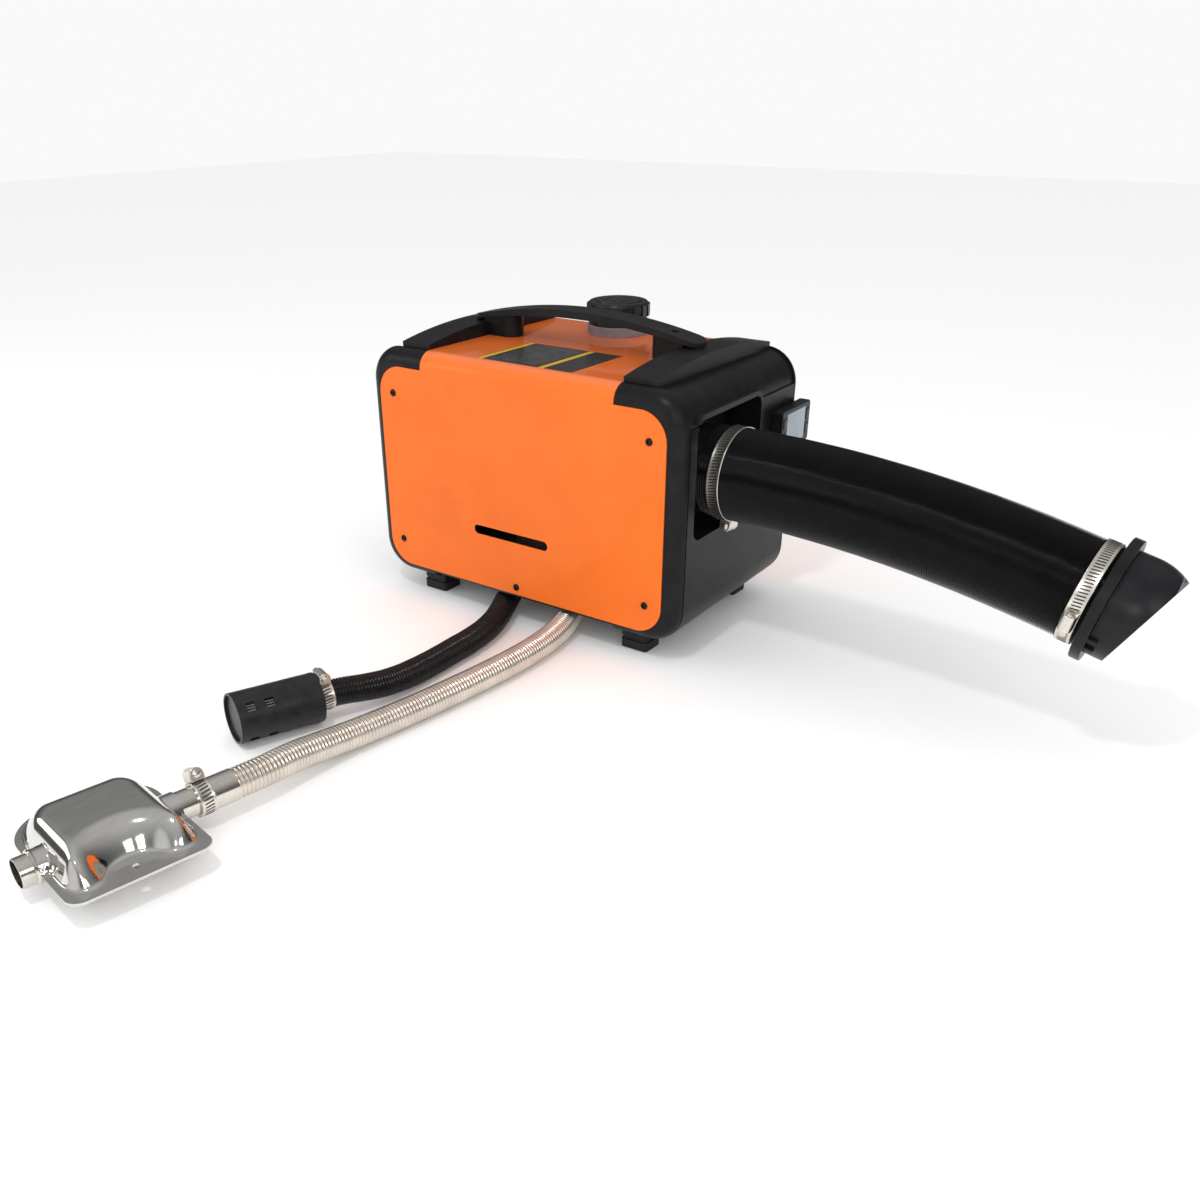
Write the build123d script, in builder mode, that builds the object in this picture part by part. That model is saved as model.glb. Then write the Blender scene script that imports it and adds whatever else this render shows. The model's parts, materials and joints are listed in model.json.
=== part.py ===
"""Portable diesel air heater in a carrying case, with its hot-air duct, intake silencer and exhaust muffler.

Frame: X runs to the right along the front, Y from front to back, Z up, in millimetres.
The origin is on the floor under the middle of the case.
"""

import math
import os

from build123d import *

os.makedirs("parts", exist_ok=True)

# Case
BODY_LENGTH = 390.0
BODY_DEPTH = 248.0
BODY_HEIGHT = 248.0
FOOT_HEIGHT = 22.0
END_TAPER = 7.0
CORNER_RADIUS = 36.0
RIM_RADIUS = 16.0
MOULDING_WIDTH = 75.0
MOULDING_WALL = 4.4
SHEET = 1.2
SEAT_GAP = 0.1
SHEET_GAP = 0.4

# Front and back aprons of the folded cover
APRON_MARGIN = 33.0
APRON_DROP = 18.0
APRON_BOTTOM = 33.5
APRON_CORNER = 29.0
SLOT_CENTRE_X = -6.5
SLOT_CENTRE_Z = 96.0
SLOT_LENGTH = 97.0
SLOT_HEIGHT = 10.0

# End mouldings
RAIL_WIDTH = 37.0
RAIL_END_RISE = 4.5
RAIL_MID_RISE = 14.5
RAIL_SETBACK = 16.0
CREASE_WIDTH = 1.6
CREASE_DEPTH = 1.0
RECESS_DEPTH = 2.2
RECESS_LEDGE_DROP = 34.0
TONGUE_REACH = 10.0
TONGUE_THICKNESS = 3.0
POCKET_WIDTH = 126.0
POCKET_HEIGHT = 116.0
POCKET_CENTRE_Y = -32.0
POCKET_DROP = 87.0
POCKET_CORNER = 12.0
POCKET_DEPTH = 43.0
LIP_WIDTH = 5.0
LIP_PROUD = 1.0
TRAY_PAD_WIDTH = 12.0
TRAY_PAD_Y = 60.0

# Inlet grille and power socket
GRILLE_WALL = 2.0
GRILLE_FLANGE = 4.0
SLAT_PITCH = 11.0
SLAT_WIDTH = 3.0
SOCKET_RADIUS = 9.0
SOCKET_FLANGE = 3.0
SOCKET_DEPTH = 16.0
SOCKET_Y = 70.0
SOCKET_Z = 62.0

# Handle
HANDLE_TAIL = 33.0
HANDLE_WIDTH = 30.0
HANDLE_CROWN_RISE = 36.0
HANDLE_TIP_RISE = 19.5
HANDLE_CROWN_THICKNESS = 7.5
HANDLE_TIP_THICKNESS = 4.5
HANDLE_EDGE = 1.4
LUG_REACH = 35.5
LUG_WIDTH = 25.0
HANDLE_SCREW_INSET = 12.0

# Screws
SCREW_SHANK_RADIUS = 2.0
SCREW_HEAD_RADIUS = 3.8
SCREW_HEAD_HEIGHT = 2.0
SCREW_LENGTH = 12.0
SCREW_GAP = 0.15
BOSS_WALL = 2.6
UPPER_SCREW_INSET = 35.0
UPPER_SCREW_DROP = 46.0
LOWER_SCREW_Z = 62.0
MIDDLE_SCREW_Z = 42.0

# Feet
FOOT_LENGTH = 31.0
FOOT_WIDTH = 27.0
FOOT_INSET_X = 59.5
FOOT_INSET_Y = 33.5
FOOT_PAD_HEIGHT = 9.5
FOOT_GROOVE = 3.0
FOOT_GROOVE_DEPTH = 1.8
FOOT_PEG_RADIUS = 4.0
FOOT_HOLE_RADIUS = 3.0
FOOT_HOLE_DEPTH = 10.0

# Tray
TRAY_CLEARANCE = 9.0
TRAY_THICKNESS = 2.0
TRAY_FLANGE = 21.0
TRAY_SIDE_REACH = 30.0
HOSE_SLOT_WIDTH = 38.0
HOSE_SLOT_FRONT = -102.0
HOSE_SLOT_BACK = -2.0

# Heater core
CORE_Y = -34.0
CORE_DROP = 91.0
CORE_SIZE = 116.0
CORE_CORNER = 24.0
CORE_LENGTH = 286.0
CORE_WALL = 2.5
CORE_END_GAP = 5.0
AIR_INLET_RADIUS = 45.0
STUB_RADIUS = 12.0
STUB_WALL = 1.2
STUB_Y = -20.0
EXHAUST_STUB_X = 42.0
INTAKE_STUB_X = -46.0
STUB_REACH = 16.0
EXCHANGER_RADIUS = 37.0
EXCHANGER_WALL = 3.0
EXCHANGER_LENGTH = 150.0
FIN_REACH = 12.0
FIN_THICKNESS = 2.0
FIN_COUNT = 24
BURNER_RADIUS = 24.0
BURNER_WALL = 1.5
BURNER_LENGTH = 90.0
BLOWER_RADIUS = 44.0
BLOWER_LENGTH = 28.0
BLOWER_BORE = 33.0
BLOWER_SPOKE = 8.0
MOTOR_RADIUS = 21.0
MOTOR_LENGTH = 46.0
SHAFT_RADIUS = 3.0
RUNNING_GAP = 0.04
IMPELLER_RADIUS = 42.0
IMPELLER_WIDTH = 22.0
IMPELLER_BLADES = 9
WHEEL_RADIUS = 28.0
WHEEL_WIDTH = 12.0
WHEEL_BLADES = 12
BLADE_THICKNESS = 2.0
GLOW_PLUG_RADIUS = 3.0
STAND_WIDTH = 44.0
STAND_SHEET = 2.0

# Fuel system
TANK_HALF_LENGTH = 110.0
TANK_FRONT_GAP = 10.0
TANK_BACK_GAP = 2.0
TANK_HEADROOM = 7.0
TANK_WALL = 2.5
TANK_CORNER = 12.0
NECK_X = -12.0
NECK_INSET = 46.0
NECK_RADIUS = 29.0
NECK_WALL = 4.0
NECK_RISE = 28.0
NECK_RING_RADIUS = 33.0
NECK_RING_HEIGHT = 10.0
CAP_RADIUS = 34.5
CAP_HEIGHT = 24.7
CAP_CEILING = 5.0
CAP_RIB_DEPTH = 1.6
CAP_RIB_WIDTH = 4.0
CAP_RIB_COUNT = 18
CAP_GAP = 0.3
GASKET_THICKNESS = 1.6
PUMP_RADIUS = 15.0
PUMP_LENGTH = 70.0
PUMP_X = 90.0
PUMP_BACK_Y = -18.0
PUMP_MOUNT_HEIGHT = 6.0
FUEL_PIPE_RADIUS = 2.5
FUEL_PORT_RADIUS = 4.0
LINE_X = 72.0
LINE_Y = -40.0
LINE_SWEEP = 15.0
FILTER_RADIUS = 9.0
FILTER_LENGTH = 30.0

# Control unit and controller
UNIT_LENGTH = 44.0
UNIT_WIDTH = 80.0
UNIT_HEIGHT = 24.0
UNIT_X = -94.0
UNIT_Y = -54.0
CONTROL_INSET = 35.0
CONTROL_DROP = 72.0
CONTROL_LENGTH = 66.0
CONTROL_HEIGHT = 42.0
CONTROL_DEPTH = 11.0
CONTROL_WALL = 2.2
CONTROL_CORNER = 4.0
BRACKET_THICKNESS = 2.5
SCREEN_LENGTH = 42.0
SCREEN_HEIGHT = 32.0
SCREEN_THICKNESS = 1.2
KEY_WIDTH = 6.0
KEY_HEIGHT = 10.0
KEY_PITCH_Y = 53.0
KEY_PITCH_Z = 15.0
KEY_GAP = 0.3
KEY_PROUD = 1.0
KEY_TRAVEL = 0.8
KEY_FLANGE = 1.0
BOARD_THICKNESS = 1.6

# Hot-air duct and outlet
DUCT_OUTER_RADIUS = 44.5
SPIGOT_RADIUS = 42.0
SPIGOT_WALL = 2.5
DUCT_GAP = 0.2
SPIGOT_PROUD = 17.0
DUCT_STRAIGHT = 28.0
DUCT_BEND_RADIUS = 1345.0
DUCT_BEND_ANGLE = 13.1
DUCT_CLAMP_INSET = 10.0
BAND_WIDTH = 13.0
BAND_THICKNESS = 0.9
CLAMP_GAP = 0.15
WORM_RADIUS = 5.0
WORM_LENGTH = 16.0
WORM_HEAD_RADIUS = 4.0
WORM_HEAD_LENGTH = 5.0
RING_RADIUS = 54.0
RING_WIDTH = 9.0
RING_INSERT = 30.0
RING_GAP = 0.3
HOOD_RADIUS = 46.0
HOOD_WALL = 2.2
HOOD_LENGTH = 66.0
HOOD_STRAIGHT = 14.0
HOOD_NECK_DEPTH = 8.0
SWIVEL_GAP = 0.1
HOOD_MOUTH_NORMAL = (0.858, -0.090, -0.507)
HOOD_MOUTH_REACH = 38.0

# Hoses, silencer and muffler
HOSE_RADIUS = 13.2
HOSE_WALL = 1.0
HOSE_SOCKET = 5.0
RUN_SHARE = 0.45
SILENCER_RADIUS = 23.0
SILENCER_LENGTH = 78.0
SILENCER_WALL = 2.0
SILENCER_RIM = 2.5
SILENCER_NIPPLE = 20.0
WINDOW = 8.0
WINDOW_NEAR = 48.4
WINDOW_FAR = 65.5
SLEEVE_RADIUS = 13.6
SLEEVE_LENGTH = 34.0
MUFFLER_X = 21.5
MUFFLER_Y = -633.0
MUFFLER_AXIS_Z = 24.0
MUFFLER_HEADING = 190.3
MUFFLER_FLANGE_LENGTH = 110.0
MUFFLER_FLANGE_WIDTH = 132.0
MUFFLER_SHIFT = 4.0
MUFFLER_SHEET = 1.0
MUFFLER_BULGE_LENGTH = 98.0
MUFFLER_FAR_STRIP = 8.0
MUFFLER_BULGE_NEAR = 54.0
MUFFLER_BULGE_RISE = 23.0
MUFFLER_SCALLOP_RADIUS = 26.0
MUFFLER_SCALLOP_Y = 64.0
MUFFLER_LOBE_RADIUS = 14.0
MUFFLER_SHOULDER = 12.8
MUFFLER_HOLE_RADIUS = 3.3
MUFFLER_HOLE_Y = 51.0
MUFFLER_HOLE_X = 5.0
MUFFLER_CORNER_NEAR = 12.0
MUFFLER_CORNER_FAR = 38.0
MUFFLER_PIPE_REACH = 71.0
MUFFLER_INLET_REACH = 82.0
PIPE_RADIUS = 12.0
PIPE_WALL = 1.0
PIPE_GAP = 0.2

# Label on the top sheet
LABEL_LENGTH = 116.0
LABEL_WIDTH = 86.0
LABEL_X = 2.0
LABEL_Y = -64.0
LABEL_THICKNESS = 0.3

# Worked out from the sizes above
BODY_BOTTOM = FOOT_HEIGHT
BODY_TOP = BODY_BOTTOM + BODY_HEIGHT
HALF_LENGTH = BODY_LENGTH / 2
HALF_DEPTH = BODY_DEPTH / 2
EDGE_X = HALF_LENGTH - MOULDING_WIDTH
APRON_WIDTH = BODY_LENGTH - APRON_MARGIN
APRON_TOP = BODY_TOP - APRON_DROP
RECESS_LEDGE_Z = BODY_TOP - RECESS_LEDGE_DROP
POCKET_CENTRE_Z = BODY_TOP - POCKET_DROP
HANDLE_SCREW_X = EDGE_X - HANDLE_SCREW_INSET
HANDLE_SPAN = 2 * (HANDLE_SCREW_X + HANDLE_TAIL)
UPPER_SCREW_X = HALF_LENGTH - UPPER_SCREW_INSET
UPPER_SCREW_Z = BODY_TOP - UPPER_SCREW_DROP
FOOT_X = HALF_LENGTH - FOOT_INSET_X
FOOT_Y = HALF_DEPTH - FOOT_INSET_Y
CORE_Z = BODY_TOP - CORE_DROP
NECK_Y = HALF_DEPTH - NECK_INSET
CONTROL_Y = HALF_DEPTH - CONTROL_INSET
CONTROL_Z = BODY_TOP - CONTROL_DROP
MOULDING_HALF_DEPTH = HALF_DEPTH - SHEET
RAIL_HALF_RUN = HALF_DEPTH - RAIL_SETBACK
POCKET_FLOOR_X = HALF_LENGTH - POCKET_DEPTH
TRAY_BOTTOM = BODY_BOTTOM + TRAY_CLEARANCE
TRAY_TOP = TRAY_BOTTOM + TRAY_THICKNESS
CORE_RIGHT = POCKET_FLOOR_X - MOULDING_WALL - CORE_END_GAP
CORE_LEFT = CORE_RIGHT - CORE_LENGTH
CORE_BOTTOM = CORE_Z - CORE_SIZE / 2
STUB_BOTTOM = CORE_BOTTOM - STUB_REACH
SPIGOT_END_X = HALF_LENGTH + SPIGOT_PROUD
DUCT_START_X = SPIGOT_END_X - DUCT_STRAIGHT
DUCT_INNER_RADIUS = SPIGOT_RADIUS + DUCT_GAP
TANK_FRONT_Y = CORE_Y + CORE_SIZE / 2 + TANK_FRONT_GAP
TANK_BACK_Y = HALF_DEPTH - SCREW_LENGTH - TANK_BACK_GAP
TAPER_ANGLE = math.degrees(math.atan(END_TAPER / (2 * MOULDING_HALF_DEPTH)))


def face_x(y):
    """X of the right end face at depth y."""
    return HALF_LENGTH - END_TAPER * (y + MOULDING_HALF_DEPTH) / (2 * MOULDING_HALF_DEPTH)


def handle_line(x, crown_rise, tip_rise):
    """Z, at x, of an arc along the handle with these rises above the cover's top."""
    half = HANDLE_SPAN / 2
    sag = crown_rise - tip_rise
    radius = (half**2 + sag**2) / (2 * sag)
    return BODY_TOP + crown_rise - radius + math.sqrt(radius**2 - x**2)


# ---------------------------------------------------------------- end mouldings


def end_block(inset, reach):
    """Square-cornered end, tapered in plan, outside the plane X = reach and set in all round by inset."""
    depth = MOULDING_HALF_DEPTH - inset
    with BuildPart() as block:
        with BuildSketch(Plane.XY.offset(BODY_BOTTOM + inset)):
            with BuildLine():
                Polyline(
                    (reach, -depth), (HALF_LENGTH - inset, -depth),
                    (HALF_LENGTH - END_TAPER - inset, depth), (reach, depth), close=True,
                )
            make_face()
        extrude(amount=BODY_HEIGHT - 2 * inset)
    return block.part


def end_form(inset, reach):
    """The end's rounded form: large corners seen from the front, and a rounded rim front and back."""
    with BuildPart() as form:
        add(end_block(inset, reach))
        outer = form.faces().sort_by(Axis.X)[-1]
        fillet(outer.edges().filter_by(Axis.Z, reverse=True), CORNER_RADIUS - inset)
        for rim_place in (0, -1):
            rim = form.faces().sort_by(Axis.Y)[rim_place]
            fillet(rim.edges().sort_by(Axis.X)[1:], RIM_RADIUS - inset)
    return form.part


def saddle(inset, thickness, low, half_width):
    """A sheet folded over the top, from low at the front to low at the back."""
    outer = HALF_DEPTH - inset
    inner = outer - thickness
    crown = BODY_TOP - inset
    bend = RIM_RADIUS + SHEET - inset
    with BuildPart() as fold:
        with BuildSketch(Plane.YZ):
            with BuildLine():
                over = FilletPolyline((-outer, low), (-outer, crown), (outer, crown), (outer, low), radius=bend)
                under = FilletPolyline(
                    (-inner, low), (-inner, crown - thickness), (inner, crown - thickness), (inner, low),
                    radius=bend - thickness,
                )
                Line(over @ 0, under @ 0)
                Line(over @ 1, under @ 1)
            make_face()
        extrude(amount=half_width, both=True)
    return fold.part


def rail_block(inset, start, end):
    """The arched rail on an end moulding's top, as a solid from X = start to X = end."""
    run = RAIL_HALF_RUN - inset
    low = BODY_TOP - MOULDING_WALL - 1
    with BuildPart() as block:
        with BuildSketch(Plane.YZ.offset(start)):
            with BuildLine():
                arch = ThreePointArc(
                    (-run, BODY_TOP + RAIL_END_RISE - inset),
                    (0, BODY_TOP + RAIL_MID_RISE - inset),
                    (run, BODY_TOP + RAIL_END_RISE - inset),
                )
                Polyline(arch @ 1, (run, low), (-run, low), arch @ 0)
            make_face()
        extrude(amount=end - start)
    return block.part


def screw_places():
    """Where the cover screws go into one end moulding."""
    return [(UPPER_SCREW_X, UPPER_SCREW_Z), (UPPER_SCREW_X, LOWER_SCREW_Z)]


def cover_screw_places():
    """Where the screws of the front or the back apron go."""
    both_ends = [(side * x, z) for side in (-1, 1) for x, z in screw_places()]
    return both_ends + [(0, MIDDLE_SCREW_Z)]


def moulding_skin():
    """What both end mouldings share: a hollow rounded end with its rail, creases, recess, bosses and lug."""
    with BuildPart() as groove:
        for side in (-1, 1):
            with BuildSketch(Plane.XZ.offset(side * RAIL_HALF_RUN)):
                with Locations((HALF_LENGTH, BODY_BOTTOM + BODY_HEIGHT / 2)):
                    Rectangle(2 * BODY_LENGTH, 2 * BODY_HEIGHT)
            extrude(amount=CREASE_WIDTH / 2, both=True)
        add(end_form(CREASE_DEPTH, EDGE_X - 1), mode=Mode.SUBTRACT)

    with BuildPart() as recess:
        with BuildSketch(Plane.XZ.offset(-RAIL_HALF_RUN)):
            with Locations((EDGE_X + RAIL_WIDTH, RECESS_LEDGE_Z)):
                Rectangle(MOULDING_WIDTH, BODY_HEIGHT / 2, align=(Align.MIN, Align.MIN))
        extrude(amount=2 * RAIL_HALF_RUN)
        add(end_form(RECESS_DEPTH, EDGE_X - 1), mode=Mode.SUBTRACT)

    with BuildPart() as skin:
        add(end_form(0, EDGE_X))
        add(recess.part, mode=Mode.SUBTRACT)
        add(rail_block(0, EDGE_X, EDGE_X + RAIL_WIDTH))
        add(groove.part, mode=Mode.SUBTRACT)
        add(end_form(MOULDING_WALL, EDGE_X - 1), mode=Mode.SUBTRACT)
        add(
            rail_block(MOULDING_WALL, EDGE_X + MOULDING_WALL, EDGE_X + RAIL_WIDTH - MOULDING_WALL),
            mode=Mode.SUBTRACT,
        )
        for side in (-1, 1):
            with BuildSketch(Plane.XZ.offset(side * (MOULDING_HALF_DEPTH - MOULDING_WALL / 2))):
                with Locations(*screw_places()):
                    Circle(SCREW_SHANK_RADIUS + BOSS_WALL)
            extrude(amount=-side * (SCREW_LENGTH - MOULDING_WALL / 2))
        for side in (-1, 1):
            with BuildSketch(Plane.XZ.offset(side * HALF_DEPTH)):
                with Locations(*screw_places()):
                    Circle(SCREW_SHANK_RADIUS + SCREW_GAP)
            extrude(amount=-side * (SCREW_LENGTH + 2 * SHEET), mode=Mode.SUBTRACT)
        with BuildSketch(Plane.XY.offset(BODY_BOTTOM + MOULDING_WALL / 2)):
            with Locations((EDGE_X, -TRAY_PAD_Y), (EDGE_X, TRAY_PAD_Y)):
                Rectangle(TRAY_SIDE_REACH, TRAY_PAD_WIDTH, align=(Align.MIN, Align.CENTER))
        extrude(amount=TRAY_CLEARANCE - MOULDING_WALL / 2)
        with BuildSketch(Plane.XY.offset(BODY_BOTTOM - 1)):
            with Locations((FOOT_X, -FOOT_Y), (FOOT_X, FOOT_Y)):
                Circle(FOOT_PEG_RADIUS + SEAT_GAP)
        extrude(amount=MOULDING_WALL + 2, mode=Mode.SUBTRACT)
    return skin.part


def tongue():
    """The moulding's inner edge, joggled down by the cover's thickness so that the cover lies on it."""
    with BuildPart() as strip:
        add(saddle(SHEET, TONGUE_THICKNESS, APRON_TOP, EDGE_X + 1))
        with BuildSketch(Plane.XY.offset(APRON_TOP)):
            Rectangle(2 * (EDGE_X - TONGUE_REACH), BODY_DEPTH)
        extrude(amount=BODY_HEIGHT, mode=Mode.SUBTRACT)
        split(bisect_by=Plane.YZ, keep=Keep.TOP)
    return strip.part


def handle_lug():
    """The round-ended seat under one end of the handle, which grows out of the rail's inner wall."""
    with BuildPart() as lug:
        with BuildSketch(Plane.XY.offset(BODY_TOP + SHEET_GAP)):
            with Locations((EDGE_X - LUG_REACH + LUG_WIDTH / 2, 0)):
                Circle(LUG_WIDTH / 2)
            with Locations((EDGE_X - LUG_REACH + LUG_WIDTH / 2, 0)):
                Rectangle(LUG_REACH - LUG_WIDTH / 2 + MOULDING_WALL, LUG_WIDTH, align=(Align.MIN, Align.CENTER))
        extrude(amount=HANDLE_CROWN_RISE)
        add(handle_slab(HANDLE_CROWN_THICKNESS + SEAT_GAP, HANDLE_TIP_THICKNESS + SEAT_GAP), mode=Mode.SUBTRACT)
        with BuildSketch(Plane.XY.offset(BODY_TOP)):
            with Locations((HANDLE_SCREW_X, 0)):
                Circle(SCREW_SHANK_RADIUS + SCREW_GAP)
        extrude(amount=HANDLE_CROWN_RISE, mode=Mode.SUBTRACT)
    return lug.part


def handle_slab(crown_thickness, tip_thickness):
    """Everything above the handle's underside, between the two tips."""
    half = HANDLE_SPAN / 2
    tip = BODY_TOP + HANDLE_TIP_RISE - tip_thickness
    crown = BODY_TOP + HANDLE_CROWN_RISE - crown_thickness
    high = BODY_TOP + 2 * HANDLE_CROWN_RISE
    with BuildPart() as slab:
        with BuildSketch(Plane.XZ):
            with BuildLine():
                belly = ThreePointArc((-half, tip), (0, crown), (half, tip))
                Polyline(belly @ 1, (half, high), (-half, high), belly @ 0)
            make_face()
        extrude(amount=HANDLE_WIDTH, both=True)
    return slab.part


def pocket_sketch(margin):
    """The pocket's outline, grown by margin, in the middle of the local plane."""
    with BuildSketch(Plane.XY) as outline:
        with Locations((POCKET_CENTRE_Y, POCKET_CENTRE_Z)):
            RectangleRounded(POCKET_WIDTH + 2 * margin, POCKET_HEIGHT + 2 * margin, POCKET_CORNER + margin)
    return outline.sketch


with BuildPart() as pocket_well:
    with BuildSketch(Plane.YZ.offset(POCKET_FLOOR_X - MOULDING_WALL)):
        add(pocket_sketch(MOULDING_WALL / 2))
    extrude(amount=POCKET_DEPTH + MOULDING_WALL)
    add(end_form(RECESS_DEPTH + CREASE_DEPTH, EDGE_X), mode=Mode.INTERSECT)

with BuildPart() as pocket_lip:
    with BuildSketch(Plane.YZ.offset(HALF_LENGTH - CORNER_RADIUS / 2)):
        add(pocket_sketch(LIP_WIDTH))
        with Locations((POCKET_CENTRE_Y - LIP_WIDTH, POCKET_CENTRE_Z - LIP_WIDTH)):
            Rectangle(POCKET_WIDTH + LIP_WIDTH, POCKET_HEIGHT + LIP_WIDTH, mode=Mode.SUBTRACT)
        with Locations((POCKET_CENTRE_Y, POCKET_CENTRE_Z - POCKET_HEIGHT / 2)):
            Rectangle(2 * POCKET_WIDTH, POCKET_HEIGHT, mode=Mode.SUBTRACT)
    extrude(amount=CORNER_RADIUS)
    add(end_block(-LIP_PROUD, EDGE_X), mode=Mode.INTERSECT)

with BuildPart() as end_moulding_right:
    add(moulding_skin())
    add(tongue())
    add(handle_lug())
    add(pocket_lip.part)
    add(pocket_well.part)
    with BuildSketch(Plane.YZ.offset(POCKET_FLOOR_X)):
        add(pocket_sketch(0))
    extrude(amount=POCKET_DEPTH + 2 * LIP_WIDTH, mode=Mode.SUBTRACT)
    with BuildSketch(Plane.YZ.offset(POCKET_FLOOR_X - 2 * MOULDING_WALL)):
        with Locations((CORE_Y, CORE_Z)):
            Circle(SPIGOT_RADIUS + DUCT_GAP)
    extrude(amount=3 * MOULDING_WALL, mode=Mode.SUBTRACT)
end_moulding_right.part.label = "end_moulding_right"
export_step(end_moulding_right.part, "parts/end_moulding_right.step")

GRILLE_RADIUS = AIR_INLET_RADIUS + CORE_WALL
GRILLE_FACE_X = face_x(CORE_Y)
GRILLE_PLANE = Plane(
    origin=(-GRILLE_FACE_X, CORE_Y, CORE_Z), x_dir=(0, 0, 1),
    z_dir=(-math.cos(math.radians(TAPER_ANGLE)), math.sin(math.radians(TAPER_ANGLE)), 0),
)
SOCKET_PLANE = Plane(
    origin=(-face_x(SOCKET_Y), SOCKET_Y, SOCKET_Z), x_dir=(0, 0, 1), z_dir=GRILLE_PLANE.z_dir
)

with BuildPart() as end_moulding_left:
    add(mirror(moulding_skin(), about=Plane.YZ))
    add(mirror(tongue(), about=Plane.YZ))
    add(mirror(handle_lug(), about=Plane.YZ))
    with BuildSketch(GRILLE_PLANE):
        Circle(GRILLE_RADIUS + SEAT_GAP)
    extrude(amount=3 * MOULDING_WALL, both=True, mode=Mode.SUBTRACT)
    with BuildSketch(SOCKET_PLANE):
        Circle(SOCKET_RADIUS + SEAT_GAP)
    extrude(amount=3 * MOULDING_WALL, both=True, mode=Mode.SUBTRACT)
end_moulding_left.part.label = "end_moulding_left"
export_step(end_moulding_left.part, "parts/end_moulding_left.step")

# Inlet grille: a flanged ring with slats, pushed into the left end
with BuildPart() as inlet_grille:
    with BuildSketch(GRILLE_PLANE):
        Circle(GRILLE_RADIUS + GRILLE_FLANGE)
        Circle(GRILLE_RADIUS - GRILLE_WALL, mode=Mode.SUBTRACT)
    extrude(amount=GRILLE_WALL)
    with BuildSketch(GRILLE_PLANE.offset(-2 * MOULDING_WALL)):
        Circle(GRILLE_RADIUS)
        Circle(GRILLE_RADIUS - GRILLE_WALL, mode=Mode.SUBTRACT)
    extrude(amount=2 * MOULDING_WALL)
    with BuildSketch(GRILLE_PLANE.offset(-MOULDING_WALL)):
        with GridLocations(SLAT_PITCH, 1, 8, 1):
            Rectangle(SLAT_WIDTH, 2 * GRILLE_RADIUS)
        Circle(GRILLE_RADIUS - GRILLE_WALL / 2, mode=Mode.INTERSECT)
    extrude(amount=MOULDING_WALL + GRILLE_WALL / 2)
inlet_grille.part.label = "inlet_grille"
export_step(inlet_grille.part, "parts/inlet_grille.step")

# Power socket: a flanged round socket in the left end
with BuildPart() as power_socket:
    with BuildSketch(SOCKET_PLANE):
        Circle(SOCKET_RADIUS + SOCKET_FLANGE)
    extrude(amount=GRILLE_WALL)
    with BuildSketch(SOCKET_PLANE.offset(-SOCKET_DEPTH)):
        Circle(SOCKET_RADIUS)
    extrude(amount=SOCKET_DEPTH)
    with BuildSketch(SOCKET_PLANE.offset(GRILLE_WALL)):
        Circle(SOCKET_RADIUS - GRILLE_WALL)
    extrude(amount=-(SOCKET_DEPTH - GRILLE_WALL), mode=Mode.SUBTRACT)
power_socket.part.label = "power_socket"
export_step(power_socket.part, "parts/power_socket.step")

# ---------------------------------------------------------------- cover, screws, tray and feet

with BuildPart() as cover:
    add(saddle(0, SHEET, APRON_TOP - CORNER_RADIUS, EDGE_X - SHEET_GAP))
    for side in (-1, 1):
        with BuildSketch(Plane.XZ.offset(side * HALF_DEPTH)):
            with Locations((0, (APRON_TOP + APRON_BOTTOM) / 2)):
                RectangleRounded(APRON_WIDTH, APRON_TOP - APRON_BOTTOM, APRON_CORNER)
        extrude(amount=-side * SHEET)
    with BuildSketch(Plane.XZ.offset(HALF_DEPTH)):
        with Locations((SLOT_CENTRE_X, SLOT_CENTRE_Z)):
            SlotOverall(SLOT_LENGTH, SLOT_HEIGHT)
    extrude(amount=-2 * SHEET, mode=Mode.SUBTRACT)
    with BuildSketch(Plane.XZ):
        with Locations(*cover_screw_places()):
            Circle(SCREW_SHANK_RADIUS + SCREW_GAP)
    extrude(amount=BODY_DEPTH, both=True, mode=Mode.SUBTRACT)
    with BuildSketch(Plane.XY.offset(BODY_TOP - 2 * SHEET)):
        with Locations((NECK_X, NECK_Y)):
            Circle(NECK_RADIUS + SHEET_GAP)
    extrude(amount=4 * SHEET, mode=Mode.SUBTRACT)
cover.part.label = "cover"
export_step(cover.part, "parts/cover.step")

with BuildPart() as cover_screws:
    for side in (-1, 1):
        places = cover_screw_places()
        with BuildSketch(Plane.XZ.offset(side * HALF_DEPTH)):
            with Locations(*places):
                Circle(SCREW_HEAD_RADIUS)
        extrude(amount=side * SCREW_HEAD_HEIGHT)
        with BuildSketch(Plane.XZ.offset(side * HALF_DEPTH)):
            with Locations(*places):
                Circle(SCREW_SHANK_RADIUS)
        extrude(amount=-side * SCREW_LENGTH)
        with BuildSketch(Plane.XZ.offset(side * (HALF_DEPTH + SCREW_HEAD_HEIGHT))):
            with Locations(*places):
                Rectangle(SCREW_HEAD_RADIUS, SHEET)
                Rectangle(SHEET, SCREW_HEAD_RADIUS)
        extrude(amount=-side * SCREW_HEAD_HEIGHT / 2, mode=Mode.SUBTRACT)
cover_screws.part.label = "cover_screws"
export_step(cover_screws.part, "parts/cover_screws.step")

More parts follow.
